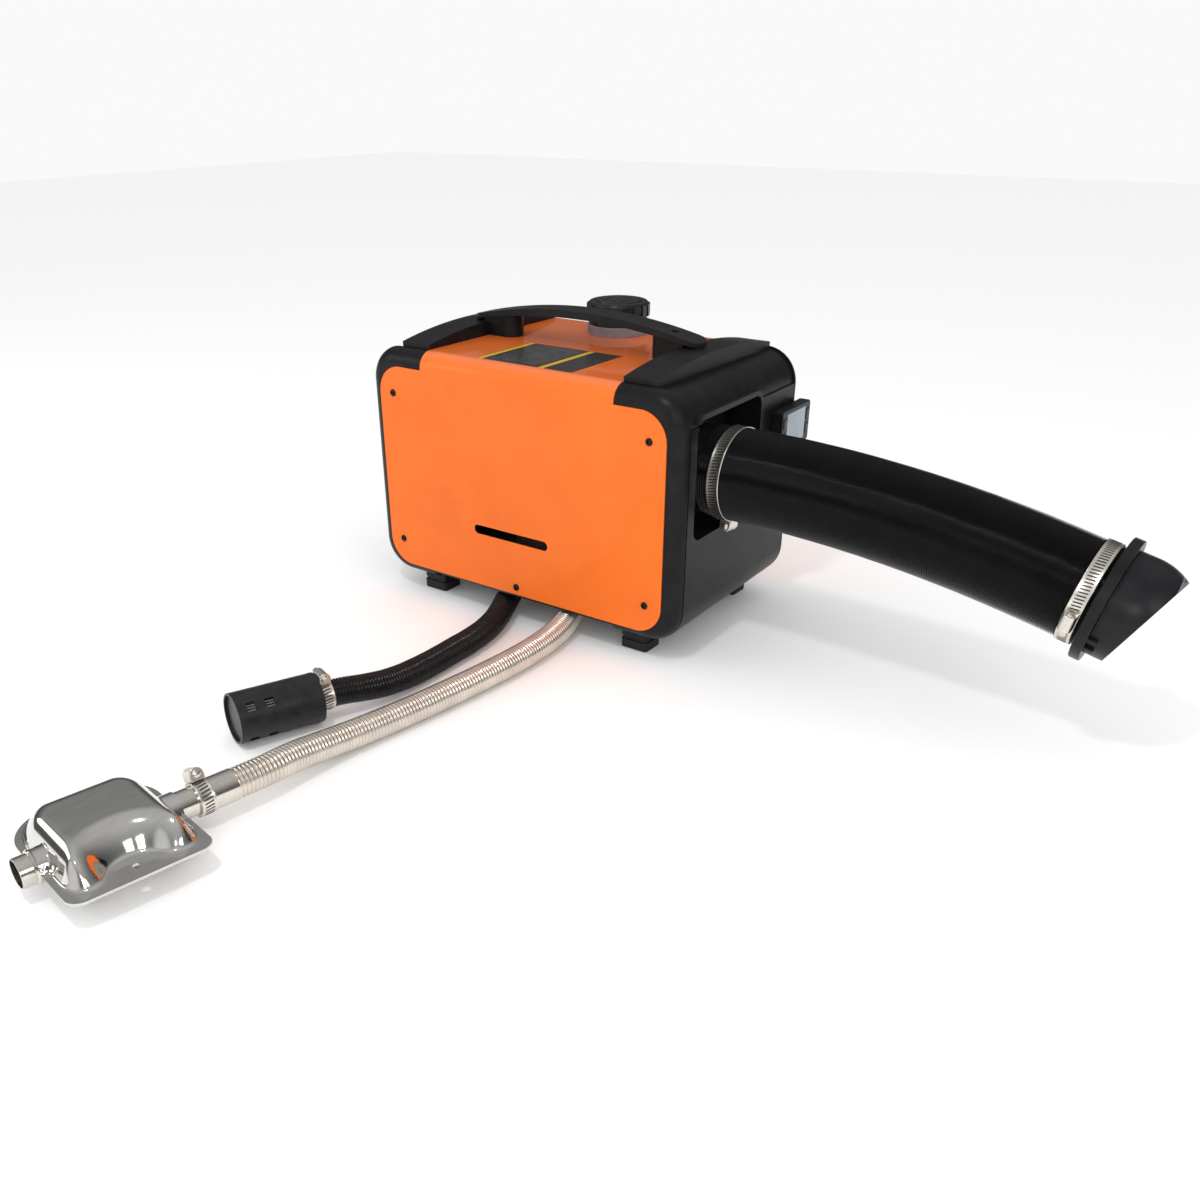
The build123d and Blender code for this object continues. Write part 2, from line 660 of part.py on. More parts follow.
with BuildPart() as tray:
    with BuildSketch(Plane.XY.offset(TRAY_BOTTOM)):
        Rectangle(2 * (EDGE_X + TRAY_SIDE_REACH), 2 * (MOULDING_HALF_DEPTH - RIM_RADIUS))
        Rectangle(2 * (EDGE_X - SHEET_GAP), 2 * MOULDING_HALF_DEPTH)
        with Locations(
            (EXHAUST_STUB_X, (HOSE_SLOT_FRONT + HOSE_SLOT_BACK) / 2),
            (INTAKE_STUB_X, (HOSE_SLOT_FRONT + HOSE_SLOT_BACK) / 2),
        ):
            SlotOverall(HOSE_SLOT_BACK - HOSE_SLOT_FRONT, HOSE_SLOT_WIDTH, rotation=90, mode=Mode.SUBTRACT)
    extrude(amount=TRAY_THICKNESS)
    for side in (-1, 1):
        with BuildSketch(Plane.XZ.offset(side * MOULDING_HALF_DEPTH)):
            with Locations((0, TRAY_BOTTOM)):
                Rectangle(2 * (EDGE_X - SHEET_GAP), TRAY_FLANGE, align=(Align.CENTER, Align.MIN))
        extrude(amount=-side * TRAY_THICKNESS)
        with BuildSketch(Plane.XZ.offset(side * MOULDING_HALF_DEPTH)):
            with Locations((0, MIDDLE_SCREW_Z)):
                Circle(SCREW_SHANK_RADIUS + SCREW_GAP)
        extrude(amount=-side * 2 * TRAY_THICKNESS, mode=Mode.SUBTRACT)
tray.part.label = "tray"
export_step(tray.part, "parts/tray.step")


def foot(x, y):
    """A rubber foot with a groove round its middle, a screw hole from below and a peg into the moulding."""
    with BuildPart() as block:
        with BuildSketch(Plane.XY):
            with Locations((x, y)):
                RectangleRounded(FOOT_LENGTH, FOOT_WIDTH, 2 * FOOT_GROOVE_DEPTH)
        extrude(amount=FOOT_PAD_HEIGHT)
        with BuildSketch(Plane.XY.offset(FOOT_PAD_HEIGHT)):
            with Locations((x, y)):
                RectangleRounded(
                    FOOT_LENGTH - 2 * FOOT_GROOVE_DEPTH, FOOT_WIDTH - 2 * FOOT_GROOVE_DEPTH, FOOT_GROOVE_DEPTH
                )
        extrude(amount=FOOT_GROOVE)
        with BuildSketch(Plane.XY.offset(FOOT_PAD_HEIGHT + FOOT_GROOVE)):
            with Locations((x, y)):
                RectangleRounded(FOOT_LENGTH - FOOT_GROOVE_DEPTH, FOOT_WIDTH - FOOT_GROOVE_DEPTH, FOOT_GROOVE_DEPTH)
        extrude(amount=FOOT_HEIGHT - FOOT_PAD_HEIGHT - FOOT_GROOVE)
        with BuildSketch(Plane.XY.offset(FOOT_HEIGHT)):
            with Locations((x, y)):
                Circle(FOOT_PEG_RADIUS)
        extrude(amount=MOULDING_WALL)
        with BuildSketch(Plane.XY):
            with Locations((x, y)):
                Circle(FOOT_HOLE_RADIUS)
        extrude(amount=FOOT_HOLE_DEPTH, mode=Mode.SUBTRACT)
    return block


for end_name, end_side in (("left", -1), ("right", 1)):
    for row_name, row_side in (("front", -1), ("back", 1)):
        rubber_foot = foot(end_side * FOOT_X, row_side * FOOT_Y)
        rubber_foot.part.label = f"foot_{row_name}_{end_name}"
        export_step(rubber_foot.part, f"parts/foot_{row_name}_{end_name}.step")

with BuildPart() as top_label:
    with BuildSketch(Plane.XY.offset(BODY_TOP)):
        with Locations((LABEL_X, LABEL_Y)):
            Rectangle(LABEL_LENGTH, LABEL_WIDTH)
    extrude(amount=LABEL_THICKNESS)
top_label.part.label = "top_label"
export_step(top_label.part, "parts/top_label.step")

# ---------------------------------------------------------------- handle

HANDLE_SCREW_TOP = handle_line(HANDLE_SCREW_X, HANDLE_CROWN_RISE, HANDLE_TIP_RISE)
HANDLE_SCREW_SEAT = HANDLE_SCREW_TOP - SCREW_HEAD_HEIGHT - SHEET

with BuildPart() as carry_handle:
    with BuildSketch(Plane.XZ):
        with BuildLine():
            back = ThreePointArc(
                (-HANDLE_SPAN / 2, BODY_TOP + HANDLE_TIP_RISE),
                (0, BODY_TOP + HANDLE_CROWN_RISE),
                (HANDLE_SPAN / 2, BODY_TOP + HANDLE_TIP_RISE),
            )
            belly = ThreePointArc(
                (-HANDLE_SPAN / 2, BODY_TOP + HANDLE_TIP_RISE - HANDLE_TIP_THICKNESS),
                (0, BODY_TOP + HANDLE_CROWN_RISE - HANDLE_CROWN_THICKNESS),
                (HANDLE_SPAN / 2, BODY_TOP + HANDLE_TIP_RISE - HANDLE_TIP_THICKNESS),
            )
            Line(back @ 0, belly @ 0)
            Line(back @ 1, belly @ 1)
        make_face()
    extrude(amount=HANDLE_WIDTH / 2, both=True)
    fillet(carry_handle.edges().filter_by(Axis.Z), HANDLE_WIDTH / 2 - HANDLE_EDGE)
    with BuildSketch(Plane.XY.offset(BODY_TOP)):
        with Locations((HANDLE_SCREW_X, 0), (-HANDLE_SCREW_X, 0)):
            Circle(SCREW_SHANK_RADIUS + SCREW_GAP)
    extrude(amount=2 * HANDLE_CROWN_RISE, mode=Mode.SUBTRACT)
    with BuildSketch(Plane.XY.offset(HANDLE_SCREW_SEAT)):
        with Locations((HANDLE_SCREW_X, 0), (-HANDLE_SCREW_X, 0)):
            Circle(SCREW_HEAD_RADIUS + SCREW_GAP)
    extrude(amount=HANDLE_CROWN_RISE, mode=Mode.SUBTRACT)
carry_handle.part.label = "carry_handle"
export_step(carry_handle.part, "parts/carry_handle.step")

with BuildPart() as handle_screws:
    with BuildSketch(Plane.XY.offset(HANDLE_SCREW_SEAT)):
        with Locations((HANDLE_SCREW_X, 0), (-HANDLE_SCREW_X, 0)):
            Circle(SCREW_HEAD_RADIUS)
    extrude(amount=SCREW_HEAD_HEIGHT)
    with BuildSketch(Plane.XY.offset(HANDLE_SCREW_SEAT)):
        with Locations((HANDLE_SCREW_X, 0), (-HANDLE_SCREW_X, 0)):
            Circle(SCREW_SHANK_RADIUS)
    extrude(amount=-SCREW_LENGTH)
    with BuildSketch(Plane.XY.offset(HANDLE_SCREW_SEAT + SCREW_HEAD_HEIGHT)):
        with Locations((HANDLE_SCREW_X, 0), (-HANDLE_SCREW_X, 0)):
            RegularPolygon(SCREW_SHANK_RADIUS, 6)
    extrude(amount=-SCREW_HEAD_HEIGHT / 2, mode=Mode.SUBTRACT)
handle_screws.part.label = "handle_screws"
export_step(handle_screws.part, "parts/handle_screws.step")

# ---------------------------------------------------------------- fuel tank and cap

TANK_TOP = BODY_TOP - TANK_HEADROOM
TANK_MID_Y = (TANK_FRONT_Y + TANK_BACK_Y) / 2
FUEL_PORT_Z = TRAY_TOP + PUMP_MOUNT_HEIGHT + PUMP_RADIUS
NECK_TOP = BODY_TOP + NECK_RISE

with BuildPart() as fuel_tank:
    with BuildSketch(Plane.XY.offset(TRAY_TOP)):
        with Locations((0, TANK_MID_Y)):
            RectangleRounded(2 * TANK_HALF_LENGTH, TANK_BACK_Y - TANK_FRONT_Y, TANK_CORNER)
    extrude(amount=TANK_TOP - TRAY_TOP)
    with BuildSketch(Plane.XY.offset(TANK_TOP)):
        with Locations((NECK_X, NECK_Y)):
            Circle(NECK_RADIUS)
    extrude(amount=NECK_TOP - TANK_TOP)
    with BuildSketch(Plane.XY.offset(TRAY_TOP + TANK_WALL)):
        with Locations((0, TANK_MID_Y)):
            RectangleRounded(
                2 * (TANK_HALF_LENGTH - TANK_WALL), TANK_BACK_Y - TANK_FRONT_Y - 2 * TANK_WALL, TANK_CORNER - TANK_WALL
            )
    extrude(amount=TANK_TOP - TRAY_TOP - 2 * TANK_WALL, mode=Mode.SUBTRACT)
    with BuildSketch(Plane.XY.offset(TANK_TOP - 2 * TANK_WALL)):
        with Locations((NECK_X, NECK_Y)):
            Circle(NECK_RADIUS - NECK_WALL)
    extrude(amount=NECK_TOP, mode=Mode.SUBTRACT)
    with BuildSketch(Plane.XZ.offset(-TANK_FRONT_Y)):
        with Locations((PUMP_X, FUEL_PORT_Z)):
            Circle(FUEL_PORT_RADIUS)
    extrude(amount=TANK_WALL)
    with BuildSketch(Plane.XZ.offset(TANK_WALL - TANK_FRONT_Y)):
        with Locations((PUMP_X, FUEL_PORT_Z)):
            Circle(FUEL_PIPE_RADIUS)
    extrude(amount=-3 * TANK_WALL, mode=Mode.SUBTRACT)
fuel_tank.part.label = "fuel_tank"
export_step(fuel_tank.part, "parts/fuel_tank.step")

with BuildPart() as neck_ring:
    with BuildSketch(Plane.XY.offset(BODY_TOP)):
        with Locations((NECK_X, NECK_Y)):
            Circle(NECK_RING_RADIUS)
            Circle(NECK_RADIUS + SEAT_GAP, mode=Mode.SUBTRACT)
    extrude(amount=NECK_RING_HEIGHT)
    fillet(neck_ring.edges().group_by(Axis.Z)[-1].sort_by(SortBy.RADIUS)[-1], SHEET)
neck_ring.part.label = "neck_ring"
export_step(neck_ring.part, "parts/neck_ring.step")

CAP_BOTTOM = BODY_TOP + NECK_RING_HEIGHT + CAP_GAP
CAP_TOP = CAP_BOTTOM + CAP_HEIGHT
CAP_ROOF = CAP_TOP - CAP_CEILING

with BuildPart() as cap_gasket:
    with BuildSketch(Plane.XY.offset(NECK_TOP + SEAT_GAP)):
        with Locations((NECK_X, NECK_Y)):
            Circle(NECK_RADIUS - SEAT_GAP)
            Circle(NECK_RADIUS - NECK_WALL, mode=Mode.SUBTRACT)
    extrude(amount=CAP_ROOF - NECK_TOP - 2 * SEAT_GAP)
cap_gasket.part.label = "cap_gasket"
export_step(cap_gasket.part, "parts/cap_gasket.step")

with BuildPart() as filler_cap:
    with BuildSketch(Plane.XY.offset(CAP_BOTTOM)):
        with Locations((NECK_X, NECK_Y)):
            Circle(CAP_RADIUS - CAP_RIB_DEPTH)
            with PolarLocations(CAP_RADIUS - CAP_RIB_DEPTH, CAP_RIB_COUNT):
                Rectangle(2 * CAP_RIB_DEPTH, CAP_RIB_WIDTH)
    extrude(amount=CAP_HEIGHT - CAP_RIB_DEPTH)
    with BuildSketch(Plane.XY.offset(CAP_BOTTOM)):
        with Locations((NECK_X, NECK_Y)):
            Circle(CAP_RADIUS - 4 * CAP_RIB_DEPTH)
    extrude(amount=CAP_HEIGHT)
    with BuildSketch(Plane.XY.offset(CAP_BOTTOM)):
        with Locations((NECK_X, NECK_Y)):
            Circle(NECK_RADIUS + CAP_GAP)
    extrude(amount=CAP_ROOF - CAP_BOTTOM, mode=Mode.SUBTRACT)
filler_cap.part.label = "filler_cap"
export_step(filler_cap.part, "parts/filler_cap.step")

# Fuel filter, pump, their mounts and lines, in one row in front of the tank's outlet
FILTER_BACK_Y = TANK_FRONT_Y - TANK_WALL - SEAT_GAP
FILTER_FRONT_Y = FILTER_BACK_Y - FILTER_LENGTH
PUMP_FRONT_Y = PUMP_BACK_Y - PUMP_LENGTH


def lengthwise(y):
    """Plane at depth y, facing the front."""
    return Plane.XZ.offset(-y)


with BuildPart() as fuel_filter:
    with BuildSketch(lengthwise(FILTER_BACK_Y)):
        with Locations((PUMP_X, FUEL_PORT_Z)):
            Circle(FUEL_PORT_RADIUS)
            Circle(FUEL_PIPE_RADIUS, mode=Mode.SUBTRACT)
    extrude(amount=FILTER_LENGTH)
    with BuildSketch(lengthwise(FILTER_BACK_Y - FILTER_LENGTH / 4)):
        with Locations((PUMP_X, FUEL_PORT_Z)):
            Circle(FILTER_RADIUS)
    extrude(amount=FILTER_LENGTH / 2)
fuel_filter.part.label = "fuel_filter"
export_step(fuel_filter.part, "parts/fuel_filter.step")

with BuildPart() as fuel_pump:
    with BuildSketch(lengthwise(PUMP_BACK_Y)):
        with Locations((PUMP_X, FUEL_PORT_Z)):
            Circle(PUMP_RADIUS / 2)
    extrude(amount=PUMP_LENGTH)
    with BuildSketch(lengthwise(PUMP_BACK_Y - PUMP_LENGTH / 7)):
        with Locations((PUMP_X, FUEL_PORT_Z)):
            Circle(PUMP_RADIUS)
    extrude(amount=5 * PUMP_LENGTH / 7)
fuel_pump.part.label = "fuel_pump"
export_step(fuel_pump.part, "parts/fuel_pump.step")

with BuildPart() as pump_mount:
    with BuildSketch(lengthwise(PUMP_BACK_Y - PUMP_LENGTH / 2 + PUMP_RADIUS)):
        with Locations((PUMP_X, TRAY_TOP)):
            Rectangle(1.6 * PUMP_RADIUS, FUEL_PORT_Z - TRAY_TOP, align=(Align.CENTER, Align.MIN))
        with Locations((PUMP_X, FUEL_PORT_Z)):
            Circle(PUMP_RADIUS + SEAT_GAP, mode=Mode.SUBTRACT)
    extrude(amount=2 * PUMP_RADIUS)
pump_mount.part.label = "pump_mount"
export_step(pump_mount.part, "parts/pump_mount.step")

# ---------------------------------------------------------------- heater core


def crosswise(x):
    """Plane at X = x, facing right, whose local axes are Y and Z."""
    return Plane.YZ.offset(x)


def core_shell():
    """Both halves of the heater's casing in one: a rounded tube with an inlet, an outlet and two stub holes."""
    with BuildPart() as shell:
        with BuildSketch(crosswise(CORE_LEFT)):
            with Locations((CORE_Y, CORE_Z)):
                RectangleRounded(CORE_SIZE, CORE_SIZE, CORE_CORNER)
        extrude(amount=CORE_LENGTH)
        with BuildSketch(crosswise(CORE_LEFT + CORE_WALL)):
            with Locations((CORE_Y, CORE_Z)):
                RectangleRounded(CORE_SIZE - 2 * CORE_WALL, CORE_SIZE - 2 * CORE_WALL, CORE_CORNER - CORE_WALL)
        extrude(amount=CORE_LENGTH - 2 * CORE_WALL, mode=Mode.SUBTRACT)
        with BuildSketch(crosswise(CORE_LEFT)):
            with Locations((CORE_Y, CORE_Z)):
                Circle(AIR_INLET_RADIUS)
        extrude(amount=2 * CORE_WALL, mode=Mode.SUBTRACT)
        with BuildSketch(crosswise(CORE_RIGHT)):
            with Locations((CORE_Y, CORE_Z)):
                Circle(SPIGOT_RADIUS + SEAT_GAP)
        extrude(amount=-2 * CORE_WALL, mode=Mode.SUBTRACT)
        with BuildSketch(Plane.XY.offset(CORE_BOTTOM)):
            with Locations((EXHAUST_STUB_X, STUB_Y), (INTAKE_STUB_X, STUB_Y)):
                Circle(STUB_RADIUS + SHEET_GAP)
            with Locations((LINE_X, LINE_Y)):
                Circle(FUEL_PORT_RADIUS + SEAT_GAP)
        extrude(amount=CORE_CORNER, mode=Mode.SUBTRACT)
    return shell.part


with BuildPart() as core_case_lower:
    add(core_shell())
    split(bisect_by=Plane.XY.offset(CORE_Z), keep=Keep.BOTTOM)
core_case_lower.part.label = "core_case_lower"
export_step(core_case_lower.part, "parts/core_case_lower.step")

with BuildPart() as core_case_upper:
    add(core_shell())
    split(bisect_by=Plane.XY.offset(CORE_Z), keep=Keep.TOP)
core_case_upper.part.label = "core_case_upper"
export_step(core_case_upper.part, "parts/core_case_upper.step")

# Along the core, from the inlet: impeller, motor, blower housing, exchanger with the burner in it
IMPELLER_X = CORE_LEFT + 12
MOTOR_X = IMPELLER_X + IMPELLER_WIDTH + 4
BLOWER_X = MOTOR_X + MOTOR_LENGTH
EXCHANGER_X = BLOWER_X + BLOWER_LENGTH
WHEEL_X = BLOWER_X + (BLOWER_LENGTH - WHEEL_WIDTH) / 2
SPOKE_REACH = CORE_SIZE / 2 - CORE_WALL - SEAT_GAP


def stub_solid(x, radius, top):
    """An upright cylinder for a pipe stub that leaves the core downwards at X = x."""
    with BuildPart() as pipe:
        with BuildSketch(Plane.XY.offset(STUB_BOTTOM)):
            with Locations((x, STUB_Y)):
                Circle(radius)
        extrude(amount=top - STUB_BOTTOM)
    return pipe.part


with BuildPart() as blower_housing:
    with BuildSketch(crosswise(BLOWER_X)):
        with Locations((CORE_Y, CORE_Z)):
            Circle(BLOWER_RADIUS)
            Rectangle(2 * SPOKE_REACH, BLOWER_SPOKE)
            Rectangle(BLOWER_SPOKE, SPOKE_REACH, align=(Align.CENTER, Align.MIN))
    extrude(amount=BLOWER_LENGTH)
    add(stub_solid(INTAKE_STUB_X, STUB_RADIUS, CORE_Z - BLOWER_BORE))
    with BuildSketch(crosswise(BLOWER_X + EXCHANGER_WALL)):
        with Locations((CORE_Y, CORE_Z)):
            Circle(BLOWER_BORE)
    extrude(amount=BLOWER_LENGTH - 2 * EXCHANGER_WALL, mode=Mode.SUBTRACT)
    with BuildSketch(crosswise(BLOWER_X)):
        with Locations((CORE_Y, CORE_Z)):
            Circle(SHAFT_RADIUS + SHEET_GAP)
    extrude(amount=BLOWER_LENGTH / 2, mode=Mode.SUBTRACT)
    with BuildSketch(crosswise(BLOWER_X + BLOWER_LENGTH)):
        with Locations((CORE_Y, CORE_Z)):
            with PolarLocations(BURNER_RADIUS / 2, 6):
                Circle(EXCHANGER_WALL)
    extrude(amount=-2 * EXCHANGER_WALL, mode=Mode.SUBTRACT)
    add(stub_solid(INTAKE_STUB_X, STUB_RADIUS - STUB_WALL, CORE_Z), mode=Mode.SUBTRACT)
blower_housing.part.label = "blower_housing"
export_step(blower_housing.part, "parts/blower_housing.step")


with BuildPart() as heat_exchanger:
    with BuildSketch(crosswise(EXCHANGER_X)):
        with Locations((CORE_Y, CORE_Z)):
            Circle(EXCHANGER_RADIUS)
            with PolarLocations(EXCHANGER_RADIUS + FIN_REACH / 2 - EXCHANGER_WALL / 2, FIN_COUNT):
                Rectangle(FIN_REACH + EXCHANGER_WALL, FIN_THICKNESS)
    extrude(amount=EXCHANGER_LENGTH)
    add(stub_solid(EXHAUST_STUB_X, STUB_RADIUS, CORE_Z - EXCHANGER_RADIUS / 2))
    with BuildSketch(crosswise(EXCHANGER_X)):
        with Locations((CORE_Y, CORE_Z)):
            Circle(EXCHANGER_RADIUS - EXCHANGER_WALL)
    extrude(amount=EXCHANGER_LENGTH - EXCHANGER_WALL, mode=Mode.SUBTRACT)
    add(stub_solid(EXHAUST_STUB_X, STUB_RADIUS - STUB_WALL, CORE_Z), mode=Mode.SUBTRACT)
heat_exchanger.part.label = "heat_exchanger"
export_step(heat_exchanger.part, "parts/heat_exchanger.step")

with BuildPart() as burner_tube:
    with BuildSketch(crosswise(EXCHANGER_X)):
        with Locations((CORE_Y, CORE_Z)):
            Circle(EXCHANGER_RADIUS - EXCHANGER_WALL - SEAT_GAP)
            Circle(BURNER_RADIUS - BURNER_WALL, mode=Mode.SUBTRACT)
    extrude(amount=BURNER_WALL)
    with BuildSketch(crosswise(EXCHANGER_X)):
        with Locations((CORE_Y, CORE_Z)):
            Circle(BURNER_RADIUS)
            Circle(BURNER_RADIUS - BURNER_WALL, mode=Mode.SUBTRACT)
    extrude(amount=BURNER_LENGTH)
burner_tube.part.label = "burner_tube"
export_step(burner_tube.part, "parts/burner_tube.step")

with BuildPart() as glow_plug:
    with BuildSketch(Plane.XY.offset(CORE_Z + BLOWER_RADIUS)):
        with Locations((BLOWER_X + BLOWER_LENGTH / 2, CORE_Y + BLOWER_SPOKE)):
            Circle(GLOW_PLUG_RADIUS)
    extrude(amount=BLOWER_SPOKE)
glow_plug.part.label = "glow_plug"
export_step(glow_plug.part, "parts/glow_plug.step")

with BuildPart() as fan_motor:
    with BuildSketch(crosswise(MOTOR_X)):
        with Locations((CORE_Y, CORE_Z)):
            Circle(MOTOR_RADIUS)
            Circle(SHAFT_RADIUS + RUNNING_GAP, mode=Mode.SUBTRACT)
    extrude(amount=MOTOR_LENGTH)
fan_motor.part.label = "fan_motor"
export_step(fan_motor.part, "parts/fan_motor.step")

with BuildPart() as fan_shaft:
    with BuildSketch(crosswise(IMPELLER_X)):
        with Locations((CORE_Y, CORE_Z)):
            Circle(SHAFT_RADIUS)
    extrude(amount=WHEEL_X + WHEEL_WIDTH - IMPELLER_X)
fan_shaft.part.label = "fan_shaft"
export_step(fan_shaft.part, "parts/fan_shaft.step")


def fan_wheel(x, radius, width, blades, twist):
    """A bladed wheel on the shaft: a hub, a back plate and straight blades set at an angle."""
    hub = 2 * SHAFT_RADIUS
    with BuildPart() as wheel:
        with BuildSketch(crosswise(x)):
            with Locations((CORE_Y, CORE_Z)):
                Circle(radius)
        extrude(amount=BLADE_THICKNESS)
        with BuildSketch(crosswise(x)):
            with Locations((CORE_Y, CORE_Z)):
                Circle(hub)
                with PolarLocations((radius + hub) / 2, blades):
                    Rectangle(0.86 * (radius - hub), BLADE_THICKNESS, rotation=twist)
        extrude(amount=width)
        with BuildSketch(crosswise(x)):
            with Locations((CORE_Y, CORE_Z)):
                Circle(SHAFT_RADIUS + SEAT_GAP / 2)
        extrude(amount=width, mode=Mode.SUBTRACT)
    return wheel


air_impeller = fan_wheel(IMPELLER_X, IMPELLER_RADIUS, IMPELLER_WIDTH, IMPELLER_BLADES, 20)
air_impeller.part.label = "air_impeller"
export_step(air_impeller.part, "parts/air_impeller.step")

combustion_wheel = fan_wheel(WHEEL_X, WHEEL_RADIUS, WHEEL_WIDTH, WHEEL_BLADES, 25)
combustion_wheel.part.label = "combustion_wheel"
export_step(combustion_wheel.part, "parts/combustion_wheel.step")

with BuildPart() as core_stand:
    with BuildSketch(crosswise((EXHAUST_STUB_X + INTAKE_STUB_X) / 2)):
        with Locations((CORE_Y, TRAY_TOP)):
            Rectangle(CORE_SIZE, CORE_BOTTOM - TRAY_TOP, align=(Align.CENTER, Align.MIN))
            Rectangle(
                CORE_SIZE - 2 * STAND_SHEET, CORE_BOTTOM - TRAY_TOP - STAND_SHEET,
                align=(Align.CENTER, Align.MIN), mode=Mode.SUBTRACT,
            )
    extrude(amount=STAND_WIDTH / 2, both=True)
core_stand.part.label = "core_stand"
export_step(core_stand.part, "parts/core_stand.step")

with BuildPart() as control_unit:
    with BuildSketch(Plane.XY.offset(TRAY_TOP)):
        with Locations((UNIT_X, UNIT_Y)):
            RectangleRounded(UNIT_LENGTH, UNIT_WIDTH, TRAY_THICKNESS)
    extrude(amount=UNIT_HEIGHT)
    chamfer(control_unit.faces().sort_by(Axis.Z)[-1].edges(), SHEET)
control_unit.part.label = "control_unit"
export_step(control_unit.part, "parts/control_unit.step")

with BuildPart() as fuel_lines:
    with BuildSketch(lengthwise(FILTER_FRONT_Y)):
        with Locations((PUMP_X, FUEL_PORT_Z)):
            Circle(FUEL_PORT_RADIUS)
            Circle(FUEL_PIPE_RADIUS, mode=Mode.SUBTRACT)
    extrude(amount=FILTER_FRONT_Y - PUMP_BACK_Y)
    with BuildLine():
        route = FilletPolyline(
            (PUMP_X, PUMP_FRONT_Y, FUEL_PORT_Z),
            (PUMP_X, PUMP_FRONT_Y - LINE_SWEEP, FUEL_PORT_Z),
            (PUMP_X, PUMP_FRONT_Y - LINE_SWEEP, CORE_BOTTOM - LINE_SWEEP),
            (LINE_X, LINE_Y, CORE_BOTTOM - LINE_SWEEP),
            (LINE_X, LINE_Y, CORE_BOTTOM + CORE_WALL),
            radius=LINE_SWEEP / 2,
        )
    with BuildSketch(lengthwise(PUMP_FRONT_Y)):
        with Locations((PUMP_X, FUEL_PORT_Z)):
            Circle(FUEL_PIPE_RADIUS)
    sweep(path=route)
fuel_lines.part.label = "fuel_lines"
export_step(fuel_lines.part, "parts/fuel_lines.step")

# ---------------------------------------------------------------- controller

CONTROL_PLANE = Plane(
    origin=(face_x(CONTROL_Y), CONTROL_Y, CONTROL_Z), x_dir=(-math.sin(math.radians(TAPER_ANGLE)),
                                                          math.cos(math.radians(TAPER_ANGLE)), 0),
    z_dir=(math.cos(math.radians(TAPER_ANGLE)), math.sin(math.radians(TAPER_ANGLE)), 0),
)
CONTROL_FACE = BRACKET_THICKNESS + CONTROL_DEPTH
CONTROL_INSIDE = CONTROL_FACE - CONTROL_WALL
BOARD_FACE = BRACKET_THICKNESS + 3 * BOARD_THICKNESS


def key_places():
    """Middles of the four keys on the controller's face, in its own plane."""
    return [
        (across * KEY_PITCH_Y / 2, up * KEY_PITCH_Z / 2)
        for across in (-1, 1) for up in (-1, 1)
    ]


with BuildPart() as controller_bracket:
    with BuildSketch(CONTROL_PLANE):
        RectangleRounded(CONTROL_LENGTH - 2 * CONTROL_WALL, CONTROL_HEIGHT - 2 * CONTROL_WALL, CONTROL_WALL)
    extrude(amount=BRACKET_THICKNESS)
controller_bracket.part.label = "controller_bracket"
export_step(controller_bracket.part, "parts/controller_bracket.step")

with BuildPart() as controller_housing:
    with BuildSketch(CONTROL_PLANE.offset(BRACKET_THICKNESS)):
        RectangleRounded(CONTROL_LENGTH, CONTROL_HEIGHT, CONTROL_CORNER)
    extrude(amount=CONTROL_DEPTH)
    fillet(controller_housing.faces().sort_by(Axis.X)[-1].edges(), SHEET)
    with BuildSketch(CONTROL_PLANE.offset(BRACKET_THICKNESS)):
        RectangleRounded(
            CONTROL_LENGTH - 2 * CONTROL_WALL, CONTROL_HEIGHT - 2 * CONTROL_WALL, CONTROL_CORNER - CONTROL_WALL
        )
    extrude(amount=CONTROL_DEPTH - CONTROL_WALL, mode=Mode.SUBTRACT)
    with BuildSketch(CONTROL_PLANE.offset(CONTROL_FACE - SCREEN_THICKNESS)):
        Rectangle(SCREEN_LENGTH + 2 * SEAT_GAP, SCREEN_HEIGHT + 2 * SEAT_GAP)
    extrude(amount=2 * SCREEN_THICKNESS, mode=Mode.SUBTRACT)
    with BuildSketch(CONTROL_PLANE.offset(CONTROL_INSIDE - 1)):
        Rectangle(SCREEN_LENGTH - 4 * CONTROL_WALL, SCREEN_HEIGHT - 2 * CONTROL_WALL)
        with Locations(*key_places()):
            Rectangle(KEY_WIDTH + 2 * KEY_GAP, KEY_HEIGHT + 2 * KEY_GAP)
    extrude(amount=2 * CONTROL_WALL, mode=Mode.SUBTRACT)
controller_housing.part.label = "controller_housing"
export_step(controller_housing.part, "parts/controller_housing.step")

with BuildPart() as controller_screen:
    with BuildSketch(CONTROL_PLANE.offset(CONTROL_FACE - SCREEN_THICKNESS)):
        Rectangle(SCREEN_LENGTH, SCREEN_HEIGHT)
    extrude(amount=SCREEN_THICKNESS)
controller_screen.part.label = "controller_screen"
export_step(controller_screen.part, "parts/controller_screen.step")

with BuildPart() as controller_board:
    with BuildSketch(CONTROL_PLANE.offset(BRACKET_THICKNESS)):
        Rectangle(CONTROL_LENGTH - 4 * CONTROL_WALL, CONTROL_HEIGHT - 4 * CONTROL_WALL)
    extrude(amount=3 * BOARD_THICKNESS)
controller_board.part.label = "controller_board"
export_step(controller_board.part, "parts/controller_board.step")

